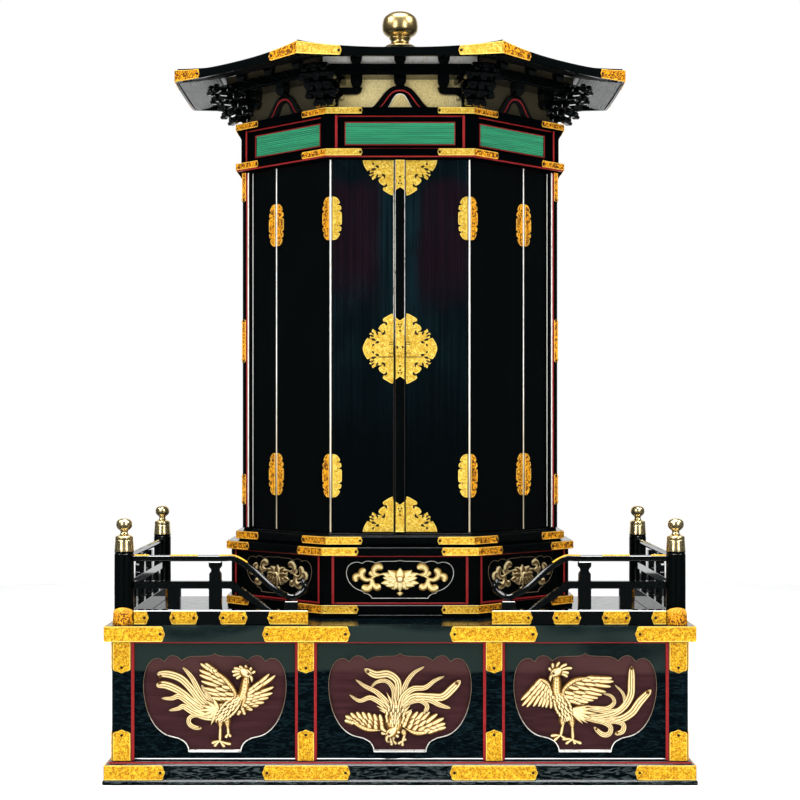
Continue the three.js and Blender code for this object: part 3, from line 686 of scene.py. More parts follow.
def gold_board(name, dull, bright, speck):
    """Boards covered in squares of gold leaf: each square has its own shade, with fine specks."""
    finish = Finish(name)
    squares = finish.node("TexVoronoi", {"distance": "CHEBYCHEV"},
                          {"Vector": finish.place(), "Scale": 1 / LEAF_SQUARE, "Randomness": 0.25},
                          output="Color")
    shade = finish.node("SeparateXYZ", {}, {0: squares})
    specks = finish.blots(1.8, 0.48, 0.66, detail=2)
    colour = finish.blend(specks * 0.6, finish.blend(shade, dull, bright), speck)
    grain = finish.noise(2.2, detail=3)
    return finish.made(colour, 0.36 + 0.2 * specks, 0.45 - 0.2 * specks, (grain, 0.1, 0.4))


def polished_brass(name, bright, tarnished, roughness):
    """Polished brass with faint turning lines and a little tarnish."""
    finish = Finish(name, metallic=0.96)
    tarnish = finish.blots(14, 0.4, 0.75, detail=3)
    turning = finish.noise(0.8, stretch=(60, 60, 1), detail=2)
    colour = finish.blend(tarnish * 0.2, bright, tarnished)
    return finish.made(colour, roughness + 0.05 * turning + 0.06 * tarnish, relief=(turning, 0.01, 0.2))


def pale_gilt(name, highlight_heights=(0, 1), worn=(0.72, 0.60, 0.40)):
    """Pale gilt of rods and lines: nearly white, slightly broken to the worn colour.

    Across the given heights it fades to that colour: its pale part is a painted highlight, the rest painted
    shade.
    """
    finish = Finish(name)
    broken = finish.noise(6, detail=4)
    height = finish.axis(Z) + 60 * finish.noise(90, detail=2)
    # The fade by height is painted light: a pale highlight on one side, shade colour on the other
    gilt_and_highlight = finish.ramp(height, *highlight_heights) * (1 - finish.ramp(broken, 0.5, 0.8))
    colour = finish.blend(gilt_and_highlight, worn, (0.96, 0.95, 0.90))
    return finish.made(colour, 0.28 + 0.25 * broken, 0.15 + 0.2 * broken)


def rafter_lacquer(name, dark, lighter_blotch):
    """Ribs under the eaves: lacquer in blotches between a dark colour and a lighter one."""
    finish = Finish(name, SHEEN)
    blotches = finish.noise(18, detail=4)
    colour = finish.blend(finish.ramp(blotches, 0.35, 0.7), dark, lighter_blotch)
    return finish.made(colour, 0.35 + 0.25 * blotches, relief=(finish.noise(3, detail=2), 0.1, 0.3))


def dark_nail():
    """Blackened nail heads, browner where they are rubbed."""
    finish = Finish("dark_nail", SHEEN)
    rub = finish.noise(1.2, detail=2)
    return finish.made(finish.blend(rub, (0.004, 0.002, 0.001), (0.022, 0.008, 0.004)), 0.35 + 0.25 * rub)


BLACK = lacquer("black_lacquer", SHEEN)
ROUND_BLACK = lacquer("round_black_lacquer", GLOSS, 0.03)
MATT_BLACK = lacquer("matt_black_lacquer", 0.0, 0.4)
DOOR_BLACK = door_lacquer()
# Ripple crest colours of the platform boards and foot: painted reflection
BOARD_BLACK = board_lacquer("platform_board_lacquer", (0.0028, 0.0095, 0.0125))
FOOT_BLACK = board_lacquer("platform_foot_lacquer", (0.0370, 0.0500, 0.0500))
MAROON = maroon_lacquer()
RED = vermilion()
GREEN = slat_green()
PUNCHED = punched_gilt(
    "punched_gilt", 1.0, (0.60, 0.32, 0.006), (0.66, 0.38, 0.010), (0.88, 0.58, 0.04))
BRIGHT_PUNCHED = punched_gilt(
    "bright_punched_gilt", 0.75, (0.84, 0.46, 0.025), (0.92, 0.53, 0.035), (0.99, 0.72, 0.13))
FINE_PUNCHED = punched_gilt(
    "fine_punched_gilt", 0.55, (0.58, 0.38, 0.035), (0.64, 0.45, 0.05), (0.84, 0.66, 0.15))
ENGRAVED = engraved_gilt()
CARVED_GOLD = leaf_on_carving(
    "carved_gold_leaf", (0.95, 0.84, 0.52), (0.64, 0.39, 0.10), (0.075, 0.026, 0.005))
LOTUS_GOLD = leaf_on_carving(
    "lotus_gold_leaf", (0.98, 0.88, 0.50), (0.84, 0.64, 0.22), (0.34, 0.19, 0.04))
# Darker copy of the carved gold for the slanting sprays: painted shade, with pale edges
SHADED_OUTLINED_GOLD = leaf_on_carving(
    "shaded_outlined_gold_leaf", (0.08, 0.042, 0.014), (0.18, 0.11, 0.04), (0.72, 0.58, 0.30))
LEAFED_BOARD = gold_board("gold_board", (0.76, 0.60, 0.24), (0.90, 0.76, 0.37), (0.36, 0.26, 0.09))
SHADED_BOARD = gold_board(
    "shaded_gold_board", (0.060, 0.050, 0.028), (0.085, 0.074, 0.044), (0.030, 0.024, 0.012))
BRASS = polished_brass("polished_brass", (0.84, 0.68, 0.36), (0.62, 0.45, 0.18), 0.2)
DEEP_BRASS = polished_brass("deep_brass", (0.50, 0.375, 0.165), (0.32, 0.21, 0.08), 0.24)
LINE = pale_gilt("pale_gilt")
# Window lines: pale at the foot, dark brown above, as painted highlight and shade of light from above; all
# dark on the slanting waist outlines, painted shade
WINDOW_LINE = pale_gilt("window_line_gilt", (150, 70), (0.22, 0.16, 0.10))
# Rods: pale gilt, whiter above as a painted highlight
ROD = pale_gilt("rod_gilt", (470, 700), (0.62, 0.52, 0.37))
# Lines on the stile's and a leaf's edges: painted highlights, pale above and near black below
STILE_HIGHLIGHT = pale_gilt("stile_painted_highlight", (660, 715), (0.025, 0.02, 0.018))
RAFTER = rafter_lacquer("rafter_lacquer", (0.003, 0.0035, 0.004), (0.011, 0.012, 0.012))
PALE_RAFTER = rafter_lacquer("pale_grey_rafter_lacquer", (0.16, 0.165, 0.165), (0.21, 0.215, 0.215))
NAIL = dark_nail()


# Camera, light and floor

# In metres, apart from the lens, the share of the picture's width that it is shifted up by, and watts
CAMERA_AT = (0.0, -2.692, 0.525)
CAMERA_LENS = 75.6
CAMERA_RISE = 0.035
SENSOR_WIDTH = 36
# Lamps: name, place, aim, size, power
LAMPS = (
    ("overhead", (0, -0.4, 3.3), (0, -0.4, 0), (1.8, 1.3), 180),
    ("key", (-1.75, -2.9, 1.5), (0, -0.1, 0.75), (0.8, 2.0), 50),
    ("fill", (1.75, -2.9, 1.5), (0, -0.1, 0.75), (0.8, 2.0), 43),
    ("beside_left", (-2.4, -0.9, 2.9), (0, -0.1, 0.4), (1.6, 1.2), 60),
    ("beside_right", (2.4, -0.9, 2.9), (0, -0.1, 0.4), (1.6, 1.2), 60),
    ("wall", (0, 3.4, 1.5), (0, 0, 1.5), (5.4, 3.0), 52),
)
WORLD_COLOUR = (0.80, 0.86, 0.88, 1)
WORLD_STRENGTH = 0.06
FLOOR_REACH = 3.2
FLOOR_DROP = 0.0005


def camera():
    """Level camera that looks along +Y."""
    eye = bpy.data.cameras.new("camera")
    eye.lens = CAMERA_LENS
    eye.sensor_width = SENSOR_WIDTH
    eye.shift_y = CAMERA_RISE
    holder = bpy.data.objects.new("camera", eye)
    holder.location = CAMERA_AT
    holder.rotation_euler = (math.pi / 2, 0, 0)
    bpy.context.collection.objects.link(holder)
    bpy.context.scene.camera = holder


def soft_light(name, place, aim, size, power):
    """Rectangular lamp at a place, turned to its aim."""
    lamp = bpy.data.lights.new(name, "AREA")
    lamp.shape = "RECTANGLE"
    lamp.size, lamp.size_y = size
    lamp.energy = power
    holder = bpy.data.objects.new(name, lamp)
    holder.location = place
    way = Vector(aim) - Vector(place)
    holder.rotation_euler = way.to_track_quat("-Z", "Y").to_euler()
    bpy.context.collection.objects.link(holder)


def studio():
    """Soft lamps, and a dim world that looks white to the camera."""
    for lamp in LAMPS:
        soft_light(*lamp)
    world = bpy.data.worlds.new("studio")
    world.use_nodes = True
    tree = world.node_tree
    dim = tree.nodes["Background"]
    dim.inputs["Color"].default_value = WORLD_COLOUR
    dim.inputs["Strength"].default_value = WORLD_STRENGTH
    white = tree.nodes.new("ShaderNodeBackground")
    white.inputs["Color"].default_value = (1, 1, 1, 1)
    seen = tree.nodes.new("ShaderNodeLightPath")
    mix = tree.nodes.new("ShaderNodeMixShader")
    tree.links.new(seen.outputs["Is Camera Ray"], mix.inputs[0])
    tree.links.new(dim.outputs[0], mix.inputs[1])
    tree.links.new(white.outputs[0], mix.inputs[2])
    tree.links.new(mix.outputs[0], tree.nodes["World Output"].inputs["Surface"])
    bpy.context.scene.world = world
    bpy.context.scene.view_settings.view_transform = "Standard"


def floor():
    """Pale studio floor: a flat round sheet, rings of points about its middle."""
    finish = Finish("pale_floor", SHEEN)
    cloud = finish.noise(500, detail=2)
    pale = finish.made(finish.blend(cloud, (0.93, 0.93, 0.93), (0.95, 0.95, 0.95)), 0.7 + 0.1 * cloud)
    angle = np.linspace(0, TURN, 96, endpoint=False)
    radius = FLOOR_REACH * np.array([0.01, 0.25, 0.5, 0.75, 1])[:, None]
    sheet = Shell()
    sheet.grid(joined(radius * np.cos(angle), radius * np.sin(angle), -FLOOR_DROP), around=True)
    mesh = bpy.data.meshes.new("floor")
    mesh.from_pydata(sheet.points[0].tolist(), [], sheet.quads[0].tolist())
    mesh.materials.append(pale)
    ground = bpy.data.objects.new("floor", mesh)
    bpy.context.collection.objects.link(ground)
    ground.visible_glossy = False


WELD_DISTANCE = 0.01
BEVEL_ANGLE = math.radians(30)


def dress(node, material, ease):
    """Gives a kept CAD piece its finish and eased edges."""
    kept = frame["nodes"][node]
    for place in kept.material_slots:
        place.material = material
    weld = kept.modifiers.new("weld", "WELD")
    weld.merge_threshold = WELD_DISTANCE * MM
    bevel = kept.modifiers.new("ease", "BEVEL")
    bevel.width = ease * MM
    bevel.limit_method = "ANGLE"
    bevel.angle_limit = BEVEL_ANGLE


# Platform

POST = "platform_post_front_right"
POST_FACE_Y = low(POST, Y)
POST_INNER_X, POST_OUTER_X = low(POST, X), high(POST, X)
POST_FOOT, POST_TOP = low(POST, Z), high(POST, Z)
POST_WIDTH = POST_OUTER_X - POST_INNER_X
POST_CHAMFER = 4
MID_POST = low("platform_mid_post_right", X), high("platform_mid_post_right", X)
# Left and right end of each panel
BAYS = (-MID_POST[0], MID_POST[0]), (MID_POST[1], POST_INNER_X), (-POST_INNER_X, -MID_POST[1])
PANEL_FACE_Y = low("platform_panel_middle", Y)
WINDOW_CENTRE_Z = 121
WINDOW_HALF = 105.5
WINDOW_TOP = 70.6
WINDOW_HEIGHT = 145.6
WINDOW_NECK = 38.3
WINDOW_DEPTH = 4
# Section of a window's sloping sill: heights over the foot of the opening and distances out of the board
SILL_UP = np.array([-0.4, 0.3, 2.8, -0.4])
SILL_OUT = np.array([0.4, 0.5, -WINDOW_DEPTH - 0.2, -WINDOW_DEPTH - 0.2])
# Section of the sloping fillet at a panel's foot: heights over the posts' feet and distances out of the panel
FILLET_UP = np.array([0.1, 0.6, 3.4, 0.1])
FILLET_OUT = np.array([3.2, 3.0, -0.3, -0.3])
POST_PLATE_HEIGHT = 46
BAND_FACE_Y = low("platform_top_board", Y)
BAND_FACE_X = high("platform_top_board", X)
CORNER_PLATE = 89
MID_PLATE = 73.4, 202.6
FOOT_BAND = 6, 29
LEDGE = 4
LEDGE_LINE = 29.4, 32.6


def cusped_outline(half, height, neck):
    """Closed outline of a cusped window, from its top point clockwise: smooth runs that meet at cusps.

    Places are shares of the half width and of the height, down from the top; the foot narrows to the neck."""
    foot = neck / half
    runs = [
        [(0, 0), (0.03, 0.016), (0.09, 0.027), (0.2, 0.029), (0.36, 0.036), (0.462, 0.074)],
        [(0.52, 0.038), (0.585, 0.024), (0.65, 0.036), (0.71, 0.085)],
        [(0.76, 0.058), (0.82, 0.052), (0.9, 0.082), (0.97, 0.17), (1, 0.31), (0.985, 0.46), (0.93, 0.61),
         (0.83, 0.74), (0.69, 0.825), (foot + 0.15, 0.862)],
        [(foot + 0.06, 0.9), (foot + 0.012, 0.955), (foot, 1)],
    ]
    right = cusped_line(runs, 7) * (half, -height)
    left = right[:0:-1] * (-1, 1)
    return np.concatenate([right, left])


def window_board(shell, face, outline, centre, board, depth):
    """Board with a cusped opening: on each ray from the centre, a strip runs from the outline to the border.

    board is (left, right, bottom, top) on the face; its four corners have rays as the outline's points do."""
    flat = outline - centre
    ray = np.arctan2(flat[:, 1], flat[:, 0])
    order = np.argsort(ray)
    ray, reach = ray[order], np.hypot(*flat[order].T)
    left, right = np.array(board[:2]) - centre[0]
    bottom, top = np.array(board[2:]) - centre[1]
    corners = [math.atan2(v, u) for u in (left, right) for v in (bottom, top)]
    rays = np.sort(np.concatenate([ray, corners]))
    reaches = np.interp(rays, np.concatenate([ray - TURN, ray, ray + TURN]), np.tile(reach, 3))
    way = joined(np.cos(rays), np.sin(rays))
    borders = np.where(way > 0, (right, top), (left, bottom))
    limits = borders / np.where(np.abs(way) < 1e-9, 1e-9, way)
    inner = centre + way * reaches[:, None]
    outer = centre + way * limits.min(axis=1, keepdims=True)
    fitting(shell, face, inner, outer, eased(-depth, 0, 0.5), loop=True)


def platform_windows():
    """Three boards with cusped openings, each with a maroon ground, a fine gilt edge line and a sill."""
    boards, grounds, lines = shells(3)
    face = facing_front(PANEL_FACE_Y)
    outline = cusped_outline(WINDOW_HALF, WINDOW_HEIGHT, WINDOW_NECK)
    for left, right in BAYS:
        middle = (left + right) / 2
        placed = outline + (middle, WINDOW_CENTRE_Z + WINDOW_TOP)
        centre = np.array([middle, WINDOW_CENTRE_Z])
        border = (left + 0.2, right - 0.2, POST_FOOT, POST_TOP)
        window_board(boards, face, placed, centre, border, WINDOW_DEPTH)
        bar(grounds, face, (left + 0.5, right - 0.5), (POST_FOOT + 0.5, POST_TOP - 0.5),
            (-WINDOW_DEPTH - 6, -WINDOW_DEPTH + 0.2))
        bead(lines, face, placed, 0.3, 0.9, out=0.1)
        foot = WINDOW_CENTRE_Z + WINDOW_TOP - WINDOW_HEIGHT
        sill = middle + (WINDOW_NECK - 0.8) * np.array([-1, 1])[:, None]
        lines.sweep(face.at(sill, foot + SILL_UP, SILL_OUT))
    panels = [f"platform_panel_{name}" for name in ("left", "middle", "right")]
    boards.piece("platform_window_boards", BOARD_BLACK, "panel_lacquer", replaces=panels)
    grounds.piece("platform_window_grounds", MAROON, "panel_lacquer")
    lines.piece("platform_window_lines", WINDOW_LINE, "gold_leaf")


def platform_red_lines():
    """Vermilion lacquer on the chamfers beside the panels, above them and on the ledge below, and a black
    fillet at the panels' feet."""
    shell, fillets = shells(2)
    width = POST_CHAMFER / SLANT
    for x, way in ((POST_INNER_X, 1), (MID_POST[1], -1), (MID_POST[0], 1)):
        corner = (x, POST_FACE_Y + POST_CHAMFER, 0)
        chamfer = Face(corner, (way * SLANT, -SLANT, 0), (-way * SLANT, -SLANT, 0))
        bar(shell, chamfer, (0.1, width - 0.1), (POST_FOOT + 0.2, POST_TOP - 0.2), (-0.6, 0.3), ease=0.15)
    shell.mirror()
    panel = facing_front(PANEL_FACE_Y)
    for left, right in BAYS:
        ends = np.array([left + 0.4, right - 0.4])
        bar(shell, panel, ends, (POST_TOP - 2.6, POST_TOP - 0.4), (-0.5, 2.0), ease=0.3)
        fillets.sweep(panel.at(ends[:, None], POST_FOOT + FILLET_UP, FILLET_OUT))
    reach = POST_OUTER_X + LEDGE - 0.3
    bar(shell, facing_front(POST_FACE_Y - LEDGE), (-reach, reach), LEDGE_LINE, (-0.4, 0.35), ease=0.15)
    shell.piece("platform_red_lines", RED, "vermilion_lacquer")
    fillets.piece("platform_panel_fillets", ROUND_BLACK, "black_lacquer")


def platform_plates():
    """Gilt plates on the posts, and on the corners and over the mid posts of both boards."""
    shell, nails, dark, dark_nails = shells(4)
    post, post_side = facing_front(POST_FACE_Y), facing_side(POST_OUTER_X)
    corner_half = POST_WIDTH / 2 - POST_CHAMFER
    corner_middle = (POST_OUTER_X + POST_INNER_X) / 2
    mid_half = (MID_POST[1] - MID_POST[0]) / 2 - POST_CHAMFER
    mid_middle = (MID_POST[0] + MID_POST[1]) / 2
    side_middle = -POST_FACE_Y - POST_WIDTH / 2
    upper = (POST_TOP - POST_PLATE_HEIGHT - 0.5, POST_TOP - 0.5)
    lower = (POST_FOOT + 0.5, POST_FOOT + POST_PLATE_HEIGHT)
    for span, ends in ((upper, START), (lower, STOP)):
        plate(shell, nails, post, span, corner_middle + 1.6, corner_half + 0.6, ends, upright=True)
        plate(shell, nails, post, span, mid_middle, mid_half, ends, upright=True)
        for middle in (-side_middle, side_middle):
            plate(dark, dark_nails, post_side, span, middle, corner_half, ends, upright=True)
    band, band_side = facing_front(BAND_FACE_Y), facing_side(BAND_FACE_X)
    corner = (BAND_FACE_X - CORNER_PLATE, BAND_FACE_X + 0.6)
    near_corner = (BAND_FACE_Y, BAND_FACE_Y + CORNER_PLATE)
    far_corner = (-BAND_FACE_Y - CORNER_PLATE, -BAND_FACE_Y)
    for bottom, top in ((low("platform_top_board", Z), high("platform_top_board", Z)), FOOT_BAND):
        middle, half = (bottom + top) / 2, (top - bottom) / 2 - 0.6
        plate(shell, nails, band, corner, middle, half, START)
        plate(shell, nails, band, MID_PLATE, middle, half, BOTH)
        plate(dark, dark_nails, band_side, near_corner, middle, half, STOP)
        plate(dark, dark_nails, band_side, far_corner, middle, half, START)
    gilt_pieces((shell, "platform_plates", PUNCHED), (dark, "platform_side_plates", ENGRAVED),
                (nails, "platform_plate_nails", NAIL), (dark_nails, "platform_side_plate_nails", NAIL))


# Phoenix carvings


def wing(shell, face, edge, tips, count, width, bend, base):
    """Wing: long feathers from its arm to its tips, two rows of shorter ones over them, then the arm."""
    for layer, reach in enumerate((1.0, 0.6, 0.34)):
        roots, ends = spline(edge, count - layer), spline(tips, count - layer)
        for k, (root, end) in enumerate(zip(roots, ends)):
            level = base + 1.9 * layer + 0.6 * (k % 2)
            path = bent(root, root + (end - root) * reach, bend)
            plume(shell, face, path, width, "blade", 2.6, level, lift=1.0, barbs=0.12)
    plume(shell, face, edge, 0.9 * width, "leaf", 4.5, base + 4.5, barbs=0.3)


def scaled_body(shell, face, start, stop, width, base):
    """Breast: a domed leaf under rows of scale feathers, which lie lower and spread out towards its sides."""
    start, stop = np.array(start, float), np.array(stop, float)
    way = (stop - start) / np.hypot(*(stop - start))
    across = np.array([-way[1], way[0]])
    plume(shell, face, (start - 5 * way, stop + 5 * way), width, "leaf", 6.0, base)
    rows = max(4, int(np.hypot(*(stop - start)) / 5))
    for row in range(rows):
        t = (row + 0.5) / rows
        spread = width * 0.4 * math.sin(math.pi * (0.14 + 0.76 * t))
        number = 4 + row % 2
        for k in range(number):
            s = 2 * k / (number - 1) - 1
            root = start + (stop - start) * t + across * spread * s
            tip = root + way * 7 + across * 1.5 * s
            level = base + 4.4 * math.sqrt(1 - 0.75 * s * s)
            plume(shell, face, (root, tip), 5.6, "blade", 1.8, level, lift=1.2)


def head(shell, face, centre, aim, comb, base):
    """Head: comb curls to the given tips, a domed face with a hooked beak, a wattle and an eye; aim is the
    beak's way in degrees."""
    centre = np.array(centre, float)
    way = np.array([math.cos(math.radians(aim)), math.sin(math.radians(aim))])
    upright = 1 if way[0] >= 0 else -1
    crown = np.array([-way[1], way[0]]) * upright

    def spot(ahead, above):
        return centre + ahead * way + above * crown

    for tip in np.array(comb, float):
        curl = bent(centre + 0.2 * (tip - centre), tip, 50 * upright)
        plume(shell, face, curl, 8.2, "comma", 4.2, base)
    plume(shell, face, (spot(-11, 0), spot(10, 0)), 18, "leaf", 6.5, base + 0.8)
    plume(shell, face, bent(spot(-4, 5), spot(7, 3), -40 * upright), 4, "leaf", 3, base + 5)
    plume(shell, face, bent(spot(5, 1), spot(13, -6), -70 * upright), 6, "leaf", 4.0, base + 3)
    plume(shell, face, (spot(5, -4), spot(10, -11)), 7, "comma", 4.0, base)
    nail(shell, face, *spot(2, 1.2), base + 6.6, 1.8)


def leg(shell, face, hip, knee, foot, toes, base):
    """Leg with a feathered thigh, a shank and rounded toes."""
    hip, knee = np.array(hip, float), np.array(knee, float)
    plume(shell, face, (hip, knee + 0.3 * (knee - hip)), 12, "leaf", 4.5, base + 1, barbs=0.3)
    plume(shell, face, (knee, foot), 7, "ribbon", 3.6, base)
    for tip in toes:
        plume(shell, face, bent(foot, tip, 20), 8, "comma", 3.6, base + 0.4)


# Each bird about its window's middle: tail [width, form, path]; tufts [root, tips]; wings [arm, feather
# tips, count, width, bend]; breast [start, stop, width]; neck [width, path]; head [place, aim, comb tips];
# legs [hip, knee, foot, toe tips].
BIRDS = {
    "left": {
        "tail": [
            [10, "whip", [(4, -10), (-12, 0), (-22, 12), (-32, 31), (-40, 42), (-48, 50)]],
            [8, "whip", [(6, -8), (-6, 2), (-14, 14), (-20, 24)]],
            [13, "ribbon", [(0, -16), (-22, 1), (-36, 19), (-50, 33), (-68, 39.6), (-86, 40)]],
            [13, "ribbon", [(-4, -19), (-32, -1), (-44, 9), (-58, 18), (-74, 24), (-87, 23)]],
            [11, "whip", [(-2, -23), (-24, -14), (-40, -1), (-53, 7), (-64, 4), (-79, 4)]],
            [11, "whip", [(-2, -24), (-18, -22), (-34, -15), (-46, -8), (-54, -11), (-68, -14)]],
            [8, "ribbon", [(0, -22), (-14, -22), (-30, -21), (-38, -26), (-37, -34), (-29, -39), (-19, -40)]],
        ],
        "tufts": [(6, -14), [(-4, 6), (-16, 2), (-24, -6), (-26, -14), (-22, -22), (-13, -28), (-6, -36),
                             (2, -33)]],
        "wings": [
            [[(45, 12), (44, 2), (38, -14)],
             [(80.5, 40), (89.5, 38), (87, 21), (85.5, 12), (79.5, 5), (73, -2), (65, -7), (56, -13),
              (45, -20), (34, -21)], 10, 8.5, 16],
            [[(4, 43), (19, 29), (31, 10), (22, -3)],
             [(-14, 56), (-22, 55), (-23, 43), (-22, 36), (-18, 23), (-13, 15), (-6, 7), (4, -7)], 9, 9, -14],
        ],
        "breast": [(39, 8), (8, -25), 21],
        "neck": [16, [(35, -2), (43, 13), (47, 39)]],
        "head": [(48, 41), -38, [(25, 43.5), (28, 49), (36, 52), (45, 53.5), (54, 50.5), (60, 45), (27, 37.5),
                                 (32, 33)]],
        "legs": [[(9, -20), (8, -38), (7.5, -59), [(-5, -63), (-1, -68), (15, -68), (24, -64)]],
                 [(17, -20), (19, -38), (20, -48), [(16, -55), (24, -53)]]],
    },
    "middle": {
        "tail": [
            [9, "whip", [(2, 0), (5.5, 16), (11.5, 30), (21.4, 42), (36.5, 51)]],
            [13, "ribbon", [(-4, -6), (-2.4, 12), (-4.3, 30), (-18, 40), (-36, 39), (-53, 47.5)]],
            [8, "whip", [(-8, -4), (-10, 18), (-20, 29.5), (-34, 28), (-44, 19)]],
            [9, "whip", [(-14, -8), (-24, 3), (-36, 14), (-52, 22), (-66, 32)]],
            [9, "whip", [(-16, -14), (-28, -3), (-44, 5), (-60, 0.5), (-75, 9.5)]],
            [10, "whip", [(2, -4), (5.5, 7), (19, 18), (37, 20), (51, 30), (66, 37)]],
            [13.5, "ribbon", [(2, -8), (19, 6.4), (43, 6.4), (63, 6.4), (77, 18), (89.5, 31)]],
            [10, "whip", [(24, 3), (43, 2.4), (59, -5.5), (75, -10.5)]],
            [8, "ribbon", [(4, -10), (12, -3), (29, 1), (40, -7), (35.5, -19)]],
        ],
        "tufts": [(-6, -24), [(-35, -7), (-31, -13), (-27, 3), (-20, 13), (-13, 6), (-8, 10), (-1, 5), (6, 6),
                              (11, -1), (16, -5), (18, -12)]],
        "wings": [
            [[(-68, -32), (-48, -41), (-26, -43)],
             [(-82, -29), (-80, -21), (-70, -17), (-60, -16), (-50, -17), (-40, -19), (-30, -20)],
             8, 9.5, 14],
            [[(40, -46), (22, -46), (5, -38)],
             [(68, -39), (67, -32), (63, -23), (49, -17), (38, -16), (28, -16), (17, -14)], 8, 9.5, -14],
        ],
        "breast": [(-9, -42), (-6, -8), 30],
        "neck": [13, [(-8, -32), (-10, -40), (-13, -45)]],
        "head": [(-14, -47), 228, [(0, -46), (-2, -53), (-26, -40), (-28, -46), (-22, -52)]],
        "legs": [[(-8, -42), (-9, -50), (-10, -58), [(-18, -61), (-13, -66), (-5, -64)]],
                 [(4, -42), (7, -50), (4, -59), [(-3, -64), (4, -67), (9, -56)]]],
    },
    "right": {
        "tail": [
            [8, "whip", [(-8, -10), (19, -11.5), (33, -11), (43, -3), (39, 7), (25, 11.5)]],
            [8, "whip", [(-6, -8), (23, -14), (44, -15), (58, -5), (56, 11), (43.6, 24)]],
            [12.5, "ribbon", [(-12, -14), (14, -24), (48, -16), (66, 5), (68.5, 30), (68.5, 52)]],
            [13.5, "ribbon", [(-12, -17), (16, -28), (48, -28), (68, -18), (81, -1), (98, 17)]],
            [9, "ribbon", [(-12, -20), (8, -27), (28, -32), (37.5, -39), (35, -48.5), (25, -49),
                           (12.5, -38.5)]],
            [9, "ribbon", [(16, -26), (43.6, -30), (56, -34.5), (55, -44.5), (43.6, -49)]],
        ],
        "tufts": [(-20, -12), [(6, -6), (14, -10), (18, -18), (14, -26), (6, -30), (4, -33), (-3, -34),
                               (-9, -30)]],
        "wings": [
            [[(-66, 33), (-56, 26), (-49, 12)],
             [(-95, 1), (-93, -8), (-84, -9), (-73, -8), (-66, -9), (-60, -10), (-52, -11), (-44, -13)],
             9, 8.5, -14],
            [[(2, 35), (-18, 30), (-33, 15), (-24, 2)],
             [(40, 34), (42, 27), (33, 15.5), (25, 9), (17, 3), (8, -1), (-6, -4)], 9, 9, 14],
        ],
        "breast": [(-43, 14), (-26, -24), 24],
        "neck": [17, [(-40, 3), (-43, 18), (-42, 40)]],
        "head": [(-45, 42), 218, [(-54, 50), (-48, 57), (-38, 58.5), (-27, 55), (-19, 49), (-24, 41.5),
                                  (-26, 36)]],
        "legs": [[(-34, -22), (-33, -36), (-36, -51), [(-51, -52), (-46, -59), (-29, -56)]],
                 [(-21, -22), (-19, -38), (-18, -57), [(-34, -57), (-29, -64), (-14, -64), (-5, -63)]]],
    },
}
TAIL_BREADTH = 1.06
TAIL_BASE = 0.6
TAIL_STEP = 0.5
# How far each part's back lies out of the ground
BASES = {"tufts": 4.0, "legs": 1.0, "wings": 2.0, "breast": 4.5, "neck": 5.5, "head": 6.0}


def tail_feather(shell, face, path, width, form, base):
    """Tail feather: three narrow plumes side by side, spread by its form, so that grooves run along it."""
    line = spline(path, 24)
    spread = 0.3 * width * PLUME_FORMS[form](np.linspace(0, 1, len(line)))[:, None]
    for place, level in ((-1, 0), (1, 0), (0, 0.7)):
        strand = line + place * spread * flat_normals(line)
        plume(shell, face, strand, 0.42 * width, form, 3.0, base + level, 0.8)


def phoenixes():
    """Carved phoenixes: tail, legs, wings, breast, neck and head laid over one another."""
    outer = (MID_POST[1] + POST_INNER_X) / 2
    for (name, bird), middle in zip(BIRDS.items(), (-outer, 0, outer)):
        shell = Shell()
        ground = Face((middle, PANEL_FACE_Y + WINDOW_DEPTH, WINDOW_CENTRE_Z), (1, 0, 0), (0, -1, 0))
        for k, (width, form, path) in enumerate(bird["tail"]):
            base = TAIL_BASE + TAIL_STEP * k
            tail_feather(shell, ground, path, TAIL_BREADTH * width, form, base)
            if form == "ribbon":
                inwards = np.sign(np.subtract(path[-2], path[-1])) * (0.7, 0.5)
                nail(shell, ground, *(np.array(path[-1]) + 0.6 * width * inwards), base + 3.4, 0.2 * width)
        root, tips = bird["tufts"]
        for tip in tips:
            plume(shell, ground, bent(root, tip, 16), 9, "leaf", 3.4, BASES["tufts"], barbs=0.12)
        for parts in bird["legs"]:
            leg(shell, ground, *parts, BASES["legs"])
        for parts in bird["wings"]:
            wing(shell, ground, *parts, BASES["wings"])
        scaled_body(shell, ground, *bird["breast"], BASES["breast"])
        width, path = bird["neck"]
        plume(shell, ground, path, width, "blade", 5.5, BASES["neck"], barbs=0.3)
        head(shell, ground, *bird["head"], BASES["head"])
        shell.piece(f"phoenix_carving_{name}", CARVED_GOLD, "gold_leaf", replaces=[f"phoenix_{name}"],
                    crease=50)


# Railing

RAIL_POST = "railing_post_front_right"
RAIL_POST_X, RAIL_FRONT_Y = middle_of(RAIL_POST, X), middle_of(RAIL_POST, Y)
RAIL_BACK_Y = middle_of("railing_post_back_right", Y)
RAIL_POST_RADIUS = high(RAIL_POST, X) - RAIL_POST_X
RAIL_FOOT, RAIL_POST_TOP = low(RAIL_POST, Z), high(RAIL_POST, Z)
TOP_RAIL_RADIUS = 4.75
TOP_RAIL_Z = 331.7
GROUND_RAIL_TOP = 255
GROUND_RAIL_HALF = 11
BALL_CAP = [(14.3, 342.3), (14.2, 345), (13.8, 350), (13.4, 356), (13.1, 358.2), (12.8, 358.8), (13.1, 359.4),
            (13.2, 362), (12.9, 364), (11.2, 365.2), (8.6, 366.2), (6.6, 367.6), (5.6, 369.2), (5.3, 370.8),
            (5.7, 372.4), (7.4, 374), (10, 376.4), (11.5, 379.4), (11.8, 382.6), (11, 386.2), (8.4, 389.2),
            (4.5, 390.7), (0, 391)]
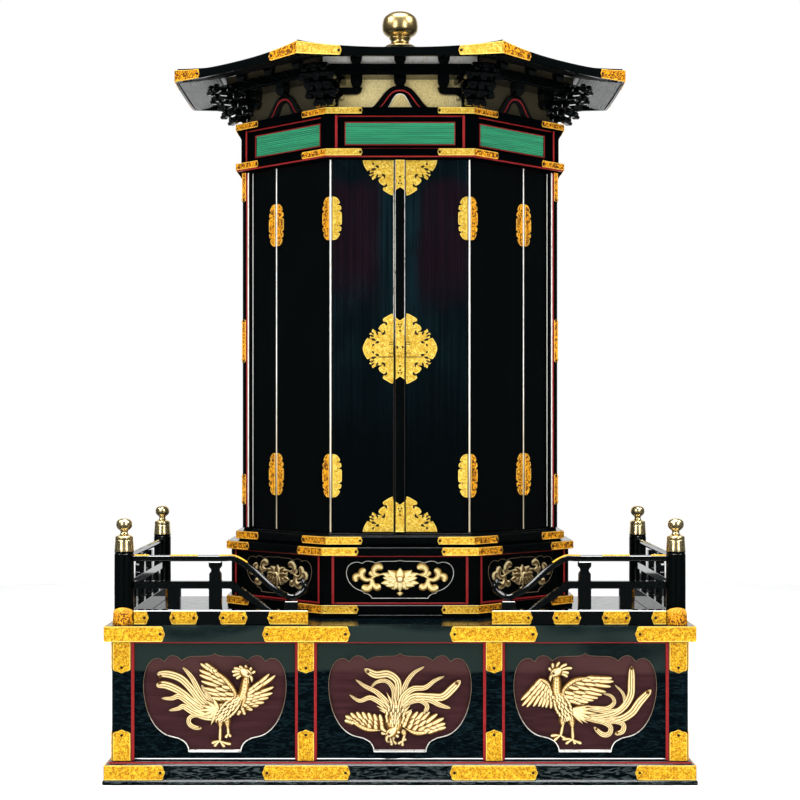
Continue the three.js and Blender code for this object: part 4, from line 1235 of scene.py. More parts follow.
TOP_RAIL_SWEEP = [(262, TOP_RAIL_Z), (244, 330.6), (217, 313), (188, 287), (162, 273.8), (146, 280.5),
                  (141, 290.5), (147, 297.5)]
GROUND_PLATES = ((371.7, 393.5, START), (298.6, 340.8, BOTH), (225.5, 267.7, BOTH), (136, 196, STOP))
SIDE_PLATES_Y = -150, -80, 0, 80, 150
SIDE_PLATE_HALF = 20
RAIL_SADDLES = (372.7, 394), (300, 341), (229, 268)
# The rail's line runs one way beyond this distance from the middle, where the saddles lie
SADDLE_LIMIT = 200
# A saddle's section: its arc round the rail in degrees, and its outer and inner face from the rail's surface
SADDLE_ARC = 48, 132
SADDLE_FACES = 0.7, -0.2
SADDLE_STEPS = 10
# Height of a collar between its petals, and how much higher a petal reaches
COLLAR_LOW = 13
COLLAR_PETAL = 13


def top_rails(shell):
    """Round bars between the posts; the front one sweeps down to a curled, swelling end. Returns its line."""
    start = RAIL_POST_X - RAIL_POST_RADIUS + 0.5
    straight = joined(np.linspace(start, TOP_RAIL_SWEEP[0][0], 6)[:-1], TOP_RAIL_Z)
    line = np.concatenate([straight, spline(TOP_RAIL_SWEEP, 72)])
    path = joined(line[:, 0], RAIL_FRONT_Y, line[:, 1])
    radius = np.full(len(path), TOP_RAIL_RADIUS)
    radius[-8:] = TOP_RAIL_RADIUS + 1.2 * np.sin(np.linspace(0, math.pi * 0.8, 8))
    tube(shell, path, radius, (0, 1, 0))
    gap = RAIL_POST_RADIUS - 0.5
    depths = np.linspace(RAIL_FRONT_Y + gap, RAIL_BACK_Y - gap, 8)
    tube(shell, joined(RAIL_POST_X, depths, TOP_RAIL_Z), TOP_RAIL_RADIUS, (1, 0, 0))
    return line


def railing():
    """Round posts with collars and ball caps, round top rails with gilt saddles, and ground rail plates."""
    posts, caps, collars, rails, saddles, plates, nails = shells(7)
    r, top = RAIL_POST_RADIUS, RAIL_POST_TOP
    shaft = [(0, RAIL_FOOT), (r, RAIL_FOOT), (r, top - 4), (r - 0.8, top - 3), (r - 0.8, top - 2),
             (r, top - 1), (r, top), (0, top)]
    cap = np.concatenate([[(0, BALL_CAP[0][1])], spline(BALL_CAP, 90)])
    for y in (RAIL_FRONT_Y, RAIL_BACK_Y):
        turned(posts, shaft, RAIL_POST_X, y)
        turned(caps, cap, RAIL_POST_X, y)
        collar(collars, RAIL_POST_X, y)
    line = top_rails(rails)
    for left, right in RAIL_SADDLES:
        saddle(saddles, line, left, right)
    face = facing_front(RAIL_FRONT_Y - GROUND_RAIL_HALF)
    outer_face = facing_side(RAIL_POST_X + GROUND_RAIL_HALF)
    middle, half = (RAIL_FOOT + GROUND_RAIL_TOP) / 2, (GROUND_RAIL_TOP - RAIL_FOOT) / 2 - 0.7
    for left, right, ends in GROUND_PLATES:
        plate(plates, nails, face, (left, right), middle, half, ends)
    for y in SIDE_PLATES_Y:
        span = (y - SIDE_PLATE_HALF, y + SIDE_PLATE_HALF)
        plate(plates, nails, outer_face, span, middle, half, BOTH)

    def nodes(kind, rows):
        return [f"{kind}_{row}_{name}" for row in rows for name in ("left", "right")]

    ends = ("front", "back")
    posts.mirror().piece("railing_posts", BLACK, "black_lacquer", replaces=nodes("railing_post", ends))
    caps.mirror().piece("railing_caps", BRASS, "brass", replaces=nodes("railing_cap", ends), crease=60)
    collars.mirror().piece("railing_collars", ENGRAVED, "gilt_fitting")
    tops = nodes("top_rail", ("front", "side"))
    rails.mirror().piece("railing_top_rails", ROUND_BLACK, "black_lacquer", replaces=tops)
    gilt_pieces((saddles, "railing_saddles", PUNCHED), (plates, "railing_plates", PUNCHED),
                (nails, "railing_plate_nails", NAIL))


def saddle(shell, line, left, right):
    """Gilt strip bent over the top of the rail: an arc of its section carried along the rail's line."""
    x = np.linspace(right, left, 14)
    z = np.interp(x, *line[line[:, 0] > SADDLE_LIMIT][::-1].T)
    slope = np.gradient(z, x)
    lean = joined(-slope, 1) / np.hypot(1, slope)[:, None]
    turn = np.radians(np.linspace(*SADDLE_ARC, SADDLE_STEPS))
    angle = np.concatenate([turn, turn[::-1]])
    radius = TOP_RAIL_RADIUS + np.repeat(SADDLE_FACES, SADDLE_STEPS)
    rise = radius * np.sin(angle)
    y = RAIL_FRONT_Y + radius * np.cos(angle)
    shell.sweep(joined(x[:, None] + lean[:, :1] * rise, y, z[:, None] + lean[:, 1:] * rise), tone=0.3)


def collar(shell, x, y):
    """Collar of two broad petals round a post's foot: its top edge follows a power of the turn's sine."""
    angle = np.linspace(0, TURN, 96, endpoint=False)
    petal = np.abs(np.sin(angle)) ** 0.7
    top = RAIL_FOOT + COLLAR_LOW + COLLAR_PETAL * petal
    shares = np.array([0, 0, 0.25, 0.6, 0.9, 1, 1])[:, None]
    radii = RAIL_POST_RADIUS + np.array([-0.5, 2.6, 2.4, 1.8, 1.6, 1.1, -0.5])[:, None]
    radius = radii + 0.9 * petal * (shares > 0.1) * (radii > RAIL_POST_RADIUS)
    height = RAIL_FOOT + shares * (top - RAIL_FOOT)
    points = joined(x + radius * np.cos(angle), y + radius * np.sin(angle), height)
    shell.grid(points, around=True, along=True, tone=0.6 * (shares > 0.8))


# Waist, frieze and their bands

# Bands round the cabinet: offset from the door plane, bottom, top
WAIST_BANDS = (30.6, 240, 253.5), (30.6, 329, 342), (16, 345, 357.7)
FRIEZE_BANDS = (16.3, 944.6, 956), (16.3, 1009, 1019.6)
BAND_PLATE = 57
BAND_PLATE_SLANTED = 55


def band_plates():
    """Gilt plates where each band turns a corner: punched on the front, engraved on the slanting sides."""
    shell, nails, dark, dark_nails, lower = shells(5)
    for offset, bottom, top in WAIST_BANDS + FRIEZE_BANDS:
        middle, half = (bottom + top) / 2, (top - bottom) / 2 - 0.4
        edge = front_half(offset) + 0.4
        sheet = shell if bottom > DOOR_BOTTOM else lower
        plate(sheet, nails, front(offset), (edge - BAND_PLATE, edge), middle, half, START)
        length = diagonal_length(offset) + 0.4
        slanted, far = diagonal(offset), side(offset)
        plate(dark, dark_nails, slanted, (-0.4, BAND_PLATE_SLANTED), middle, half, STOP)
        plate(dark, dark_nails, slanted, (length - BAND_PLATE_SLANTED, length), middle, half, START)
        plate(dark, dark_nails, far, (-0.4, BAND_PLATE_SLANTED), middle, half, STOP)
    gilt_pieces((shell, "band_plates_front", FINE_PUNCHED), (lower, "waist_plates_front", BRIGHT_PUNCHED),
                (dark, "band_plates_slanting", ENGRAVED), (nails, "band_plate_nails_front", NAIL),
                (dark_nails, "band_plate_nails_slanting", NAIL))


WAIST_OFFSET = 19
WAIST_BOTTOM = low("waist_block", Z)
WAIST_TOP = high("waist_block", Z)
WAIST_CENTRE_Z = 292.3
# Half width, height and half width of the foot
WAIST_WINDOW = 82.4, 58.5, 43.4
# Parts of the spray about its middle, for one side; the other mirrors it. Petals [root, tip, width, level];
# leaves [width, path], each a thin stalk that swells to a round end.
LOTUS_PETALS = [
    [(5, 0), (28, 9.5), 15, 0.6], [(5, 2), (18.5, 14), 15, 0.8], [(4, -2), (26.5, 2.5), 14.5, 1.4],
    [(5, -4), (29.5, -6), 14, 0.8], [(4, -5), (22, -10.5), 14, 1.6], [(3, -6), (13, -15), 14, 1.0],
]
LOTUS_LEAVES = [
    [5.5, [(24, 8), (32, 7), (40, 4), (45, 0)]],
    [14.5, [(32, 6.5), (39, 8.5), (40, 15), (34, 19.5), (26, 17)]],
    [10, [(40, 4.5), (43, 7), (46.5, 12)]],
    [14, [(44, 0), (52, -1), (58.5, 4), (58.5, 11), (53, 15.5)]],
    [12.5, [(57, 3), (63, 6), (68.5, 4), (67.5, -4)]],
    [15, [(44, -1), (44, -9), (50, -14.5), (59, -11.5)]],
    [14, [(43, 0), (41, -8), (36, -12.5), (30, -9)]],
]


def lotus(shell, face, middle, level, scale):
    """Spray: a layered lotus flower between curling leaves, mirrored about its middle."""
    def place(points, way=1):
        return (middle, level) + scale * np.array(points, float) * (way, 1)

    for way in (-1, 1):
        for width, path in LOTUS_LEAVES:
            plume(shell, face, place(path, way), width * scale, "comma", 3.2, 0.4, barbs=0.2)
        for root, tip, width, base in LOTUS_PETALS:
            plume(shell, face, place([root, tip], way), width * scale, "leaf", 3.4, base, lift=1)
        plume(shell, face, place([(2, -3), (10, -16)], way), 13 * scale, "leaf", 3.4, 2.4, lift=1)
    plume(shell, face, place([(0, 1), (0, 17.5)]), 19 * scale, "leaf", 3.6, 2.0)
    plume(shell, face, place([(0, -2), (0, -19)]), 14 * scale, "leaf", 3.6, 3.2)
    plume(shell, face, place([(0, -19), (0, -26)]), 10 * scale, "leaf", 3.2, 1.0)
    nail(shell, face, *place((0, 0)), 4.2, 6.0 * scale)
    nail(shell, face, *place((0, 0)), 6.0, 4.2 * scale, tone=1.0)


WAIST_POST_OFFSET = 24
WAIST_POST_FACE = 13
WAIST_SLANTED_SCALE = 0.95


def waist_panels():
    """Cusped gilt outlines with a lotus spray on the front and both slanting sides."""
    bright, shaded, lines, dark_lines = shells(4)
    half, height, neck = WAIST_WINDOW
    outline = cusped_outline(half, height, neck)
    top = WAIST_CENTRE_Z + height / 2
    bead(lines, front(WAIST_OFFSET), outline + (0, top), 0.34, 0.4)
    lotus(bright, front(WAIST_OFFSET), 0, WAIST_CENTRE_Z, 1.0)
    middle = diagonal_length(WAIST_OFFSET) / 2
    small = WAIST_SLANTED_SCALE
    bead(dark_lines, diagonal(WAIST_OFFSET), outline * (small, 1) + (middle, top), 0.4, 0.45)
    lotus(shaded, diagonal(WAIST_OFFSET), middle, WAIST_CENTRE_Z, small)
    bright.piece("waist_spray_front", LOTUS_GOLD, "gold_leaf", crease=50)
    lines.piece("waist_outline_front", LINE, "gold_leaf")
    shaded.mirror().piece("waist_sprays_slanting", SHADED_OUTLINED_GOLD, "gold_leaf", crease=50)
    # The slanting outlines take the window lines' dark colour: painted shade
    dark_lines.mirror().piece("waist_outlines_slanting", WINDOW_LINE, "gold_leaf")


FRIEZE_OFFSET = 4
FRIEZE_BOTTOM = low("frieze_drum", Z)
FRIEZE_TOP = high("frieze_drum", Z)
SLAT_FIELD = 964, 997
SLAT_PITCH = 3.0
SLAT_HALF = 84
SLAT_SLANTED = 21, 171.5
FRIEZE_POST_OFFSET = 8.8
FRAME_WIDTH = 1.7
FRAME_OUT = -0.4, 1.6


def slat_field(shell, face, left, right):
    """Fine level slats: a rounded ripple up the field, with a flat back."""
    bottom, top = SLAT_FIELD
    count = int((top - bottom) / SLAT_PITCH)
    up = np.linspace(bottom, top, count * 6 + 1)
    ripple = np.abs(np.sin(math.pi * (up - bottom) / (top - bottom) * count))
    out = 0.5 + 1.5 * np.sqrt(ripple)
    ring_up = np.concatenate([up, up[::-1]])
    ring_out = np.concatenate([out, np.full(len(up), -0.4)])
    stations = np.array([left, right])[:, None]
    shell.sweep(face.at(stations, ring_up, ring_out), tone=np.concatenate([ripple, 0 * up]))


def red_frame(shell, face, left, right, bottom, top):
    """Square frame of four red strips round a field."""
    wide = FRAME_WIDTH
    across, up = (left - wide, right + wide), (bottom, top)
    strips = ((across, (top, top + wide)), (across, (bottom - wide, bottom)), ((left - wide, left), up),
              ((right, right + wide), up))
    for strip_across, strip_up in strips:
        bar(shell, face, strip_across, strip_up, FRAME_OUT, ease=0.4)


def frieze_panels():
    """Green slat fields in thin red frames on the front and slanting sides."""
    slats, reds, side_slats, side_reds = shells(4)
    face, slanted = front(FRIEZE_OFFSET), diagonal(FRIEZE_OFFSET)
    slat_field(slats, face, -SLAT_HALF, SLAT_HALF)
    red_frame(reds, face, -SLAT_HALF, SLAT_HALF, *SLAT_FIELD)
    slat_field(side_slats, slanted, *SLAT_SLANTED)
    red_frame(side_reds, slanted, SLAT_SLANTED[0], SLAT_SLANTED[1] + 3, *SLAT_FIELD)
    slats.piece("frieze_slats_front", GREEN, "green_slats")
    reds.piece("red_frames_front", RED, "vermilion_lacquer")
    side_slats.mirror().piece("frieze_slats_slanting", GREEN, "green_slats")
    side_reds.mirror().piece("red_frames_slanting", RED, "vermilion_lacquer")


# Red strips on posts: offset, bottom, top, near and far edge from the corner, how much further in they lie in
# front
POST_STRIPS = ((WAIST_POST_OFFSET, WAIST_BOTTOM, WAIST_TOP, WAIST_POST_FACE - 4, WAIST_POST_FACE - 0.2, 3.6),
               (FRIEZE_POST_OFFSET, FRIEZE_BOTTOM, FRIEZE_TOP, 11, 14.8, 0))
# Level red lines: offset of the face they lie on, bottom, top, depth behind it
LEVEL_LINES = ((WAIST_OFFSET, WAIST_BOTTOM + 0.3, WAIST_BOTTOM + 2.6, 0.4),
               (WAIST_OFFSET, WAIST_TOP - 2.0, WAIST_TOP - 0.3, 0.4),
               (FRIEZE_OFFSET, FRIEZE_TOP - 2.2, FRIEZE_TOP - 0.3, 0.4),
               (FRIEZE_OFFSET, FRIEZE_BOTTOM + 0.3, FRIEZE_BOTTOM + 1.8, 0.4),
               (15.2, 943.0, 944.5, 4))
# How far a thin strip reaches into and out of its face, and its eased edge
STRIP = -0.4, 0.4
STRIP_EASE = 0.2


def red_lines():
    """Vermilion strips on the posts of the waist and frieze, and level lines under and over their bands."""
    ahead, slanting = shells(2)
    for offset, bottom, top, near, far, inwards in POST_STRIPS:
        edge, length = front_half(offset), diagonal_length(offset)
        height = (bottom + 0.5, top - 0.5)
        for way in (-1, 1):
            span = sorted((way * (edge - near - inwards), way * (edge - far - inwards)))
            bar(ahead, front(offset), span, height, (STRIP[0] - 1.3 * inwards, STRIP[1]), STRIP_EASE)
        bar(slanting, diagonal(offset), (length - far, length - near), height, STRIP, STRIP_EASE)
        if offset == WAIST_POST_OFFSET:
            bar(slanting, diagonal(offset), (near, far), height, STRIP, STRIP_EASE)
    for offset, bottom, top, depth in LEVEL_LINES:
        edge, length = front_half(offset), diagonal_length(offset)
        bar(ahead, front(offset), (-edge, edge), (bottom, top), (-depth, 1.0), STRIP_EASE)
        bar(slanting, diagonal(offset), (0, length), (bottom, top), (-depth, 1.0), STRIP_EASE)
    ahead.piece("red_lines_front", RED, "vermilion_lacquer")
    slanting.mirror().piece("red_lines_slanting", RED, "vermilion_lacquer")


# Doors

MEDALLION_Z = 648
END_MEDALLION = 1.2
LOCK_Z = MEDALLION_Z - 12, MEDALLION_Z + 13
DOOR_HEIGHT = DOOR_BOTTOM + 1, DOOR_TOP - 1
SIDES = ("right", False), ("left", True)
# Where each front leaf's fittings and lining start, from the middle
LEAF_EDGE = {"right": 8.9, "left": 10.0}
LINING_EDGE = {"right": 4, "left": 14}
STILE_FACE = FRONT_Y - low("centre_stile", Y)
STILE_HALF = high("centre_stile", X)
# Upper outline of the right half of a medallion about its middle: runs that meet at cusps, from the top to
# the side
MEDALLION = [
    [(8.9, 54.8), (14.3, 53.4), (20.5, 49.9), (25.2, 47), (26.6, 44.4), (25.6, 42.4), (23.9, 39.5)],
    [(27.3, 38), (30.8, 35.4), (33, 31.8), (32.6, 29.7), (29.5, 26.6), (26.6, 23.9)],
    [(29, 25), (32, 25.9), (35.4, 25.8)], [(38.8, 28.1), (42.4, 30.4)], [(43.6, 27.4), (43.2, 25.4)],
    [(45.4, 24.4), (47.8, 22.7)], [(46, 21.5), (44.7, 20.5)],
    [(46.2, 19), (46.6, 17.2), (44.6, 15.6), (42.6, 14.5)], [(46.4, 15.3), (50.6, 16.4)],
    [(54.6, 10.2), (57, 4), (57.7, 0)],
]
# Dark slits cut in a medallion, above its level: width, path
MEDALLION_SLITS = [
    [4.0, [(32.5, 10.8), (38.8, 8.4)]], [3.0, [(40.6, 7.2), (43.2, 3.2)]],
    [3.6, [(25.4, 41.2), (21.2, 38.8), (21.4, 35.2)]], [3.8, [(28.4, 22), (24.2, 24.4), (24.8, 29.4)]],
    [3.4, [(36.4, 27.4), (34.2, 20.6)]], [3.2, [(45, 26), (39.6, 21.8)]], [3.2, [(46.2, 21), (39.8, 18.2)]],
    [4.0, [(44.4, 15), (36.2, 12.6)]],
]
# Engraved level lines on the lock, from the medallion's level
LOCK_LINES = (-7, 6.5, 10)
HINGE_PLATE = 17.2, 33.6
HINGE_PLATE_INNER = 3.0
HINGE_NOTCHES = (-21.5, -11.5, 11.5, 21.5)
ROD_RADIUS = {"front": 1.3, "side": 0.95}


def half_medallion(shell, face, level, inner, above=True, below=True):
    """Half of a lobed medallion beside the stile: on each ray to its outline, a sheet from the stile out."""
    upper = cusped_line(MEDALLION, 4)
    far = np.concatenate(([upper] if above else []) + ([upper[::-1] * (1, -1)] if below else []))
    far = far[far[:, 0] > inner + 0.4]
    near = far * (inner / far[:, :1])
    fitting(shell, face, near + (0, level), far + (0, level), RIMMED)


def hinge_half(shell, face, along, way, level):
    """Half of a capsule-shaped hinge plate beside its rod: a rounded outer edge cut by small notches."""
    wide, tall = HINGE_PLATE
    up = tall * np.sin(np.linspace(-math.pi / 2, math.pi / 2, 140))
    bow = (1 - np.abs(up / tall) ** 2.8) ** (1 / 2.4)
    notch = np.exp(-(((up[:, None] - HINGE_NOTCHES) / 1.5) ** 2)).sum(axis=1)
    reach = HINGE_PLATE_INNER + 0.3 + (wide - HINGE_PLATE_INNER) * bow * (1 - 0.3 * notch)
    edges = [joined(edge, up) * (way, 1) + (along, level) for edge in (HINGE_PLATE_INNER, reach)]
    fitting(shell, face, *edges, RIMMED)


def hinge_rods():
    """Pale rods on the hinge lines over the doors' full height, each swelling to a knuckle at its hinges."""
    for name, way in (("left", -1), ("right", 1)):
        rows = (("front", FRONT_HALF, FRONT_Y, f"{name}_side_door"), ("side", HINGE_X, HINGE_Y, "shrine"))
        for row, x, y, body in rows:
            r = ROD_RADIUS[row]
            profile = [(0, DOOR_BOTTOM + 0.6), (r, DOOR_BOTTOM + 0.6)]
            barrels = [f"hinge_{row}_{name}_{place}" for place in ("lower", "upper")]
            for barrel in barrels:
                bottom, top = low(barrel, Z), high(barrel, Z)
                profile += [(r, bottom), (r + 0.35, bottom + 0.5), (r + 0.35, top - 0.5), (r, top)]
            profile += [(r, DOOR_TOP - 0.6), (0, DOOR_TOP - 0.6)]
            shell = Shell()
            turned(shell, profile, way * x, y, segments=20)
            shell.piece(f"hinge_rod_{row}_{name}", ROD, "gilt_fitting", body=body, replaces=barrels)


def door_fittings():
    """Medallion halves, lock, hinge plates and studs; each rides on its own leaf or jamb."""
    face, slanted = front(0), diagonal(0)
    levels = [middle_of(f"hinge_front_right_{place}", Z) for place in ("upper", "lower")]
    top, bottom = DOOR_TOP - END_MEDALLION, DOOR_BOTTOM + END_MEDALLION
    for name, flip in SIDES:
        inner = LEAF_EDGE[name]
        leaf, studs, side_leaf, jamb, edge = shells(5)
        half_medallion(leaf, face, MEDALLION_Z, inner)
        half_medallion(leaf, face, top, inner, above=False)
        half_medallion(leaf, face, bottom, inner, below=False)
        bar(leaf, face, (inner + 0.2, 17.5), LOCK_Z, (0.5, 2.4), ease=0.5)
        under_lock = (LOCK_Z[0] - 1.6, LOCK_Z[0] - 0.4)
        bar(studs, face, (inner + 0.4, 33), under_lock, (0.6, 1.3), STRIP_EASE)
        for line in LOCK_LINES:
            level = MEDALLION_Z + line
            bar(studs, face, (inner + 0.4, 16.5), (level - 0.5, level + 0.5), (1.8, 2.7), STRIP_EASE)
        for level, way in ((MEDALLION_Z, -1), (MEDALLION_Z, 1), (top, -1), (bottom, 1)):
            for width, path in MEDALLION_SLITS:
                plume(studs, face, np.array(path) * (1, way) + (0, level), width, "leaf", 0.5, 0.9)
        for level in levels:
            hinge_half(leaf, face, FRONT_HALF, -1, level)
            hinge_half(side_leaf, slanted, 0, 1, level)
            hinge_half(side_leaf, slanted, HINGE_ALONG, -1, level)
            hinge_half(jamb, slanted, HINGE_ALONG, 1, level)
            for up in HINGE_NOTCHES:
                nail(studs, face, FRONT_HALF - 11.5, level + up, 0.5, 0.9)
        # Pale line on the leaf's edge: a painted highlight
        bar(edge, face, (9.5, 10.5), DOOR_HEIGHT, (-0.4, 0.5), STRIP_EASE)
        made = [
            (edge, "front_door_edge_highlight", STILE_HIGHLIGHT, f"{name}_front_door"),
            (leaf, f"front_door_fittings_{name}", FINE_PUNCHED, f"{name}_front_door"),
            (studs, f"front_door_studs_{name}", NAIL, f"{name}_front_door"),
            (side_leaf, f"side_door_fittings_{name}", ENGRAVED, f"{name}_side_door"),
            (jamb, f"jamb_fittings_{name}", ENGRAVED, "shrine"),
        ]
        # Only the left leaf has the painted edge highlight, beside the stile
        for shell, title, finish, body in made[0 if flip else 1:]:
            (shell.flipped() if flip else shell).piece(title, finish, "gilt_fitting", body=body)


STILE_PLATE_HALF = 6.8
STILE_PLATE = 48
STILE_NOTCH = 5.0
# Dark dots near a notched end: place across, distance from the plate's far end, radius
STILE_DOTS = [(0, 27, 1.6), (-2.2, 37.4, 1.3), (2.2, 37.4, 1.3), (0, 33.6, 1.3)]


def stile_fittings():
    """Plates on the centre stile, with pale lines painted as highlights on its edges: a notched middle plate
    with the lock, and shorter ones at top and bottom."""
    shell, studs, lines = shells(3)
    face = front(STILE_FACE)
    half = STILE_PLATE_HALF
    across = np.linspace(-half, half, 15)
    notch = STILE_NOTCH * (1 - np.abs(across) / half)
    # Plates: bottom, top, whether each of them is notched
    plates = ((MEDALLION_Z - STILE_PLATE, MEDALLION_Z + STILE_PLATE, (1, 1)),
              (DOOR_TOP - STILE_PLATE, DOOR_HEIGHT[1], (1, 0)),
              (DOOR_HEIGHT[0], DOOR_BOTTOM + STILE_PLATE, (0, 1)))
    for bottom, top, (below, above) in plates:
        lower, upper = bottom + below * notch, top - above * notch
        fitting(shell, face, joined(across, lower), joined(across, upper), RIMMED)
        for dot, up, radius in STILE_DOTS * below:
            nail(studs, face, dot, bottom + STILE_PLATE - up, NAIL_OUT, radius)
        for dot, up, radius in STILE_DOTS * above:
            nail(studs, face, dot, top - STILE_PLATE + up, NAIL_OUT, radius)
    bar(shell, face, (-half, half), LOCK_Z, (0.6, 3.2), ease=0.6)
    bar(shell, face, (-half, half), (MEDALLION_Z - 11, MEDALLION_Z - 5), (3.0, 4.4), ease=1.0)
    for way in (-1, 1):
        nail(studs, face, way * 4.2, MEDALLION_Z + 2, 3.0, 1.8)
        span = sorted((way * (half + 0.1), way * (STILE_HALF - 0.1)))
        # Pale lines on the stile's edges: painted highlights
        bar(lines, face, span, DOOR_HEIGHT, (-1.0, 0.4), STRIP_EASE)
    shell.piece("stile_plates", FINE_PUNCHED, "gilt_fitting", body="right_front_door")
    studs.piece("stile_studs", NAIL, "gilt_fitting", body="right_front_door")
    lines.piece("stile_highlights", STILE_HIGHLIGHT, "gilt_fitting", body="right_front_door")


CORNER_POST_OFFSET = 6.7
CORNER_POST_FACE = 16
CORNER_PLATES = ((894, 941), (632, 702), (400, 450))


def corner_posts():
    """Gilt plates and red lines on the posts at the outer corners, with pale edge lines and a bead beside
    them painted as highlights.
    """
    shell, nails, reds, lines = shells(4)
    face, outer = diagonal(CORNER_POST_OFFSET), side(CORNER_POST_OFFSET)
    length = diagonal_length(CORNER_POST_OFFSET)
    half = CORNER_POST_FACE / 2 - 0.6
    for bottom, top in CORNER_PLATES:
        ends = (True, top < DOOR_TOP - 2)
        plate(shell, nails, face, (bottom, top), length - 4.4, 4.0, ends, upright=True)
        plate(shell, nails, outer, (bottom, top), half + 0.4, half, ends, upright=True)
    bar(reds, face, (length - 12.6, length - 9.6), DOOR_HEIGHT, STRIP, STRIP_EASE)
    # Pale strip beside the red line, and a pale bead on the jamb: painted highlights
    bar(lines, face, (length - CORNER_POST_FACE + 0.2, length - 13), DOOR_HEIGHT, (-0.4, 0.5), ease=0.3)
    start = length - CORNER_POST_FACE - MITRE * CORNER_POST_OFFSET
    bar(lines, diagonal(0), (start - 3.4, start - 0.2), DOOR_HEIGHT, (-0.4, 1.6), ease=1.0)
    gilt_pieces((shell, "corner_post_plates", ENGRAVED), (nails, "corner_post_nails", NAIL))
    reds.mirror().piece("corner_post_red_lines", RED, "vermilion_lacquer")
    lines.mirror().piece("corner_post_painted_highlights", LINE, "gilt_fitting")


LINING = -0.2, 0.7
DOOR_THICKNESS = 15
DOOR_LINING_HEIGHT = DOOR_BOTTOM + 14, DOOR_TOP - 14


def linings():
    """Gold-leafed lining of the cabinet's walls and of the doors' inner faces: thin eased sheets."""
    shell = Shell()
    wall_x, wall_y = low("cabinet_side_right", X), low("cabinet_back", Y)
    height = low("cabinet_back", Z) + 0.5, high("cabinet_back", Z) - 0.5
    bar(shell, facing_front(wall_y), (-wall_x + 1, wall_x - 1), height, LINING, STRIP_EASE)
    for way in (-1, 1):
        inner = Face((way * wall_x, 0, 0), (0, 1, 0), (-way, 0, 0))
        bar(shell, inner, (low("cabinet_side_right", Y), wall_y - 1), height, LINING, STRIP_EASE)
    shell.piece("cabinet_lining", LEAFED_BOARD, "gold_leaf")
    behind, slanted = front(-DOOR_THICKNESS), diagonal(-DOOR_THICKNESS)
    behind.out, slanted.out = -behind.out, -slanted.out
    for name, flip in SIDES:
        leaf, side_leaf = shells(2)
        bar(leaf, behind, (LINING_EDGE[name], FRONT_HALF - 16), DOOR_LINING_HEIGHT, LINING, STRIP_EASE)
        start = 10 + MITRE * DOOR_THICKNESS
        bar(side_leaf, slanted, (start, HINGE_ALONG - 4), DOOR_LINING_HEIGHT, LINING, STRIP_EASE)
        for sheet, row in ((leaf, "front"), (side_leaf, "side")):
            sheet = sheet.flipped() if flip else sheet
            sheet.piece(f"{row}_door_lining_{name}", LEAFED_BOARD, "gold_leaf", body=f"{name}_{row}_door")


# Brackets

BOARD_OFFSET = 3
BRACKET_BOTTOM = low("bracket_tier", Z)
BRACKET_TOP = high("bracket_tier", Z)
CEILING_Z = 1064.6
PURLIN_OFFSET = 40
PURLIN_DEPTH = 14
PURLIN_TOP = 1081.2
# How far an arm's end stays from its bay's end, beside a cluster
ARM_GAP = 6
# Tiers of a corner cluster: reach from the door plane, half width, bottom, top
TIERS = ((28, 17, 1020, 1031), (37, 26, 1031, 1042.5), (43, 20, 1042.5, 1055), (52, 30, 1055, 1067.5),
         (60, 22, 1067.5, 1079.5))
# A tier's bearing blocks: half width, distance in from the cross arm's ends and behind the tip
TIER_BLOCK = 5.4, 5.5, 8
# How far behind the tip the cross arm starts and stops, and half the width of the arm that reaches out
CROSS_ARM = 12, 4
TIER_ARM_HALF = 4.5
# Where the arms start, behind the door plane, and the share of a tier's height that its blocks take up
TIER_ROOT = -6
TIER_LEDGE = 0.42
# Bell curves of a strut, as half span and rise: its outer edge, its red line, its opening and that one's pale
# edge
STRUT_OUTER = 47, 34
STRUT_RED = (32.4, 25.2), (34.8, 27.6)
STRUT_OPENING = 21.2, 22.2
STRUT_PALE = 19.8, 20.8
BAY_BLOCK_X = 67
ARM_Z = 1039.7, 1050.7


def bearing_block(shell, face, across, out, bottom, top, half):
    """Square bearing block: four-sided rings that flare from a narrow foot to an upright head."""
    share = np.array([0.0, 0.45, 0.5, 1.0])[:, None]
    width = half * np.array([0.66, 0.96, 1.0, 1.0])[:, None]
    u = across + width * np.array([-1, 1, 1, -1])
    w = out + width * np.array([-1, -1, 1, 1])
    shell.sweep(face.at(u, bottom + share * (top - bottom), w))


def bracket_cluster(shell, corner, way):
    """Stepped cluster at a corner: each tier has blocks, a cross arm on them and an arm that reaches out."""
    face = Face((*corner, 0), (-way[1], way[0], 0), (*way, 0))
    stretch = 1 / math.cos(math.pi / 8)
    block, inset, behind = TIER_BLOCK
    for reach, half, bottom, top in TIERS:
        tip = reach * stretch
        ledge = bottom + TIER_LEDGE * (top - bottom)
        for across in (inset - half, 0, half - inset):
            bearing_block(shell, face, across, tip - behind, bottom - 0.2, ledge + 0.2, block)
        cross = tip - CROSS_ARM[0], tip - CROSS_ARM[1]
        bar(shell, face, (-half, half), (ledge, top), cross, ease=1.6)
        bar(shell, face, (-TIER_ARM_HALF, TIER_ARM_HALF), (ledge, top), (TIER_ROOT, tip), ease=1.6)
        core = TIER_ROOT, max(tip - 26, 4)
        bar(shell, face, (-half * 0.8, half * 0.8), (bottom, top), core, ease=0.8)


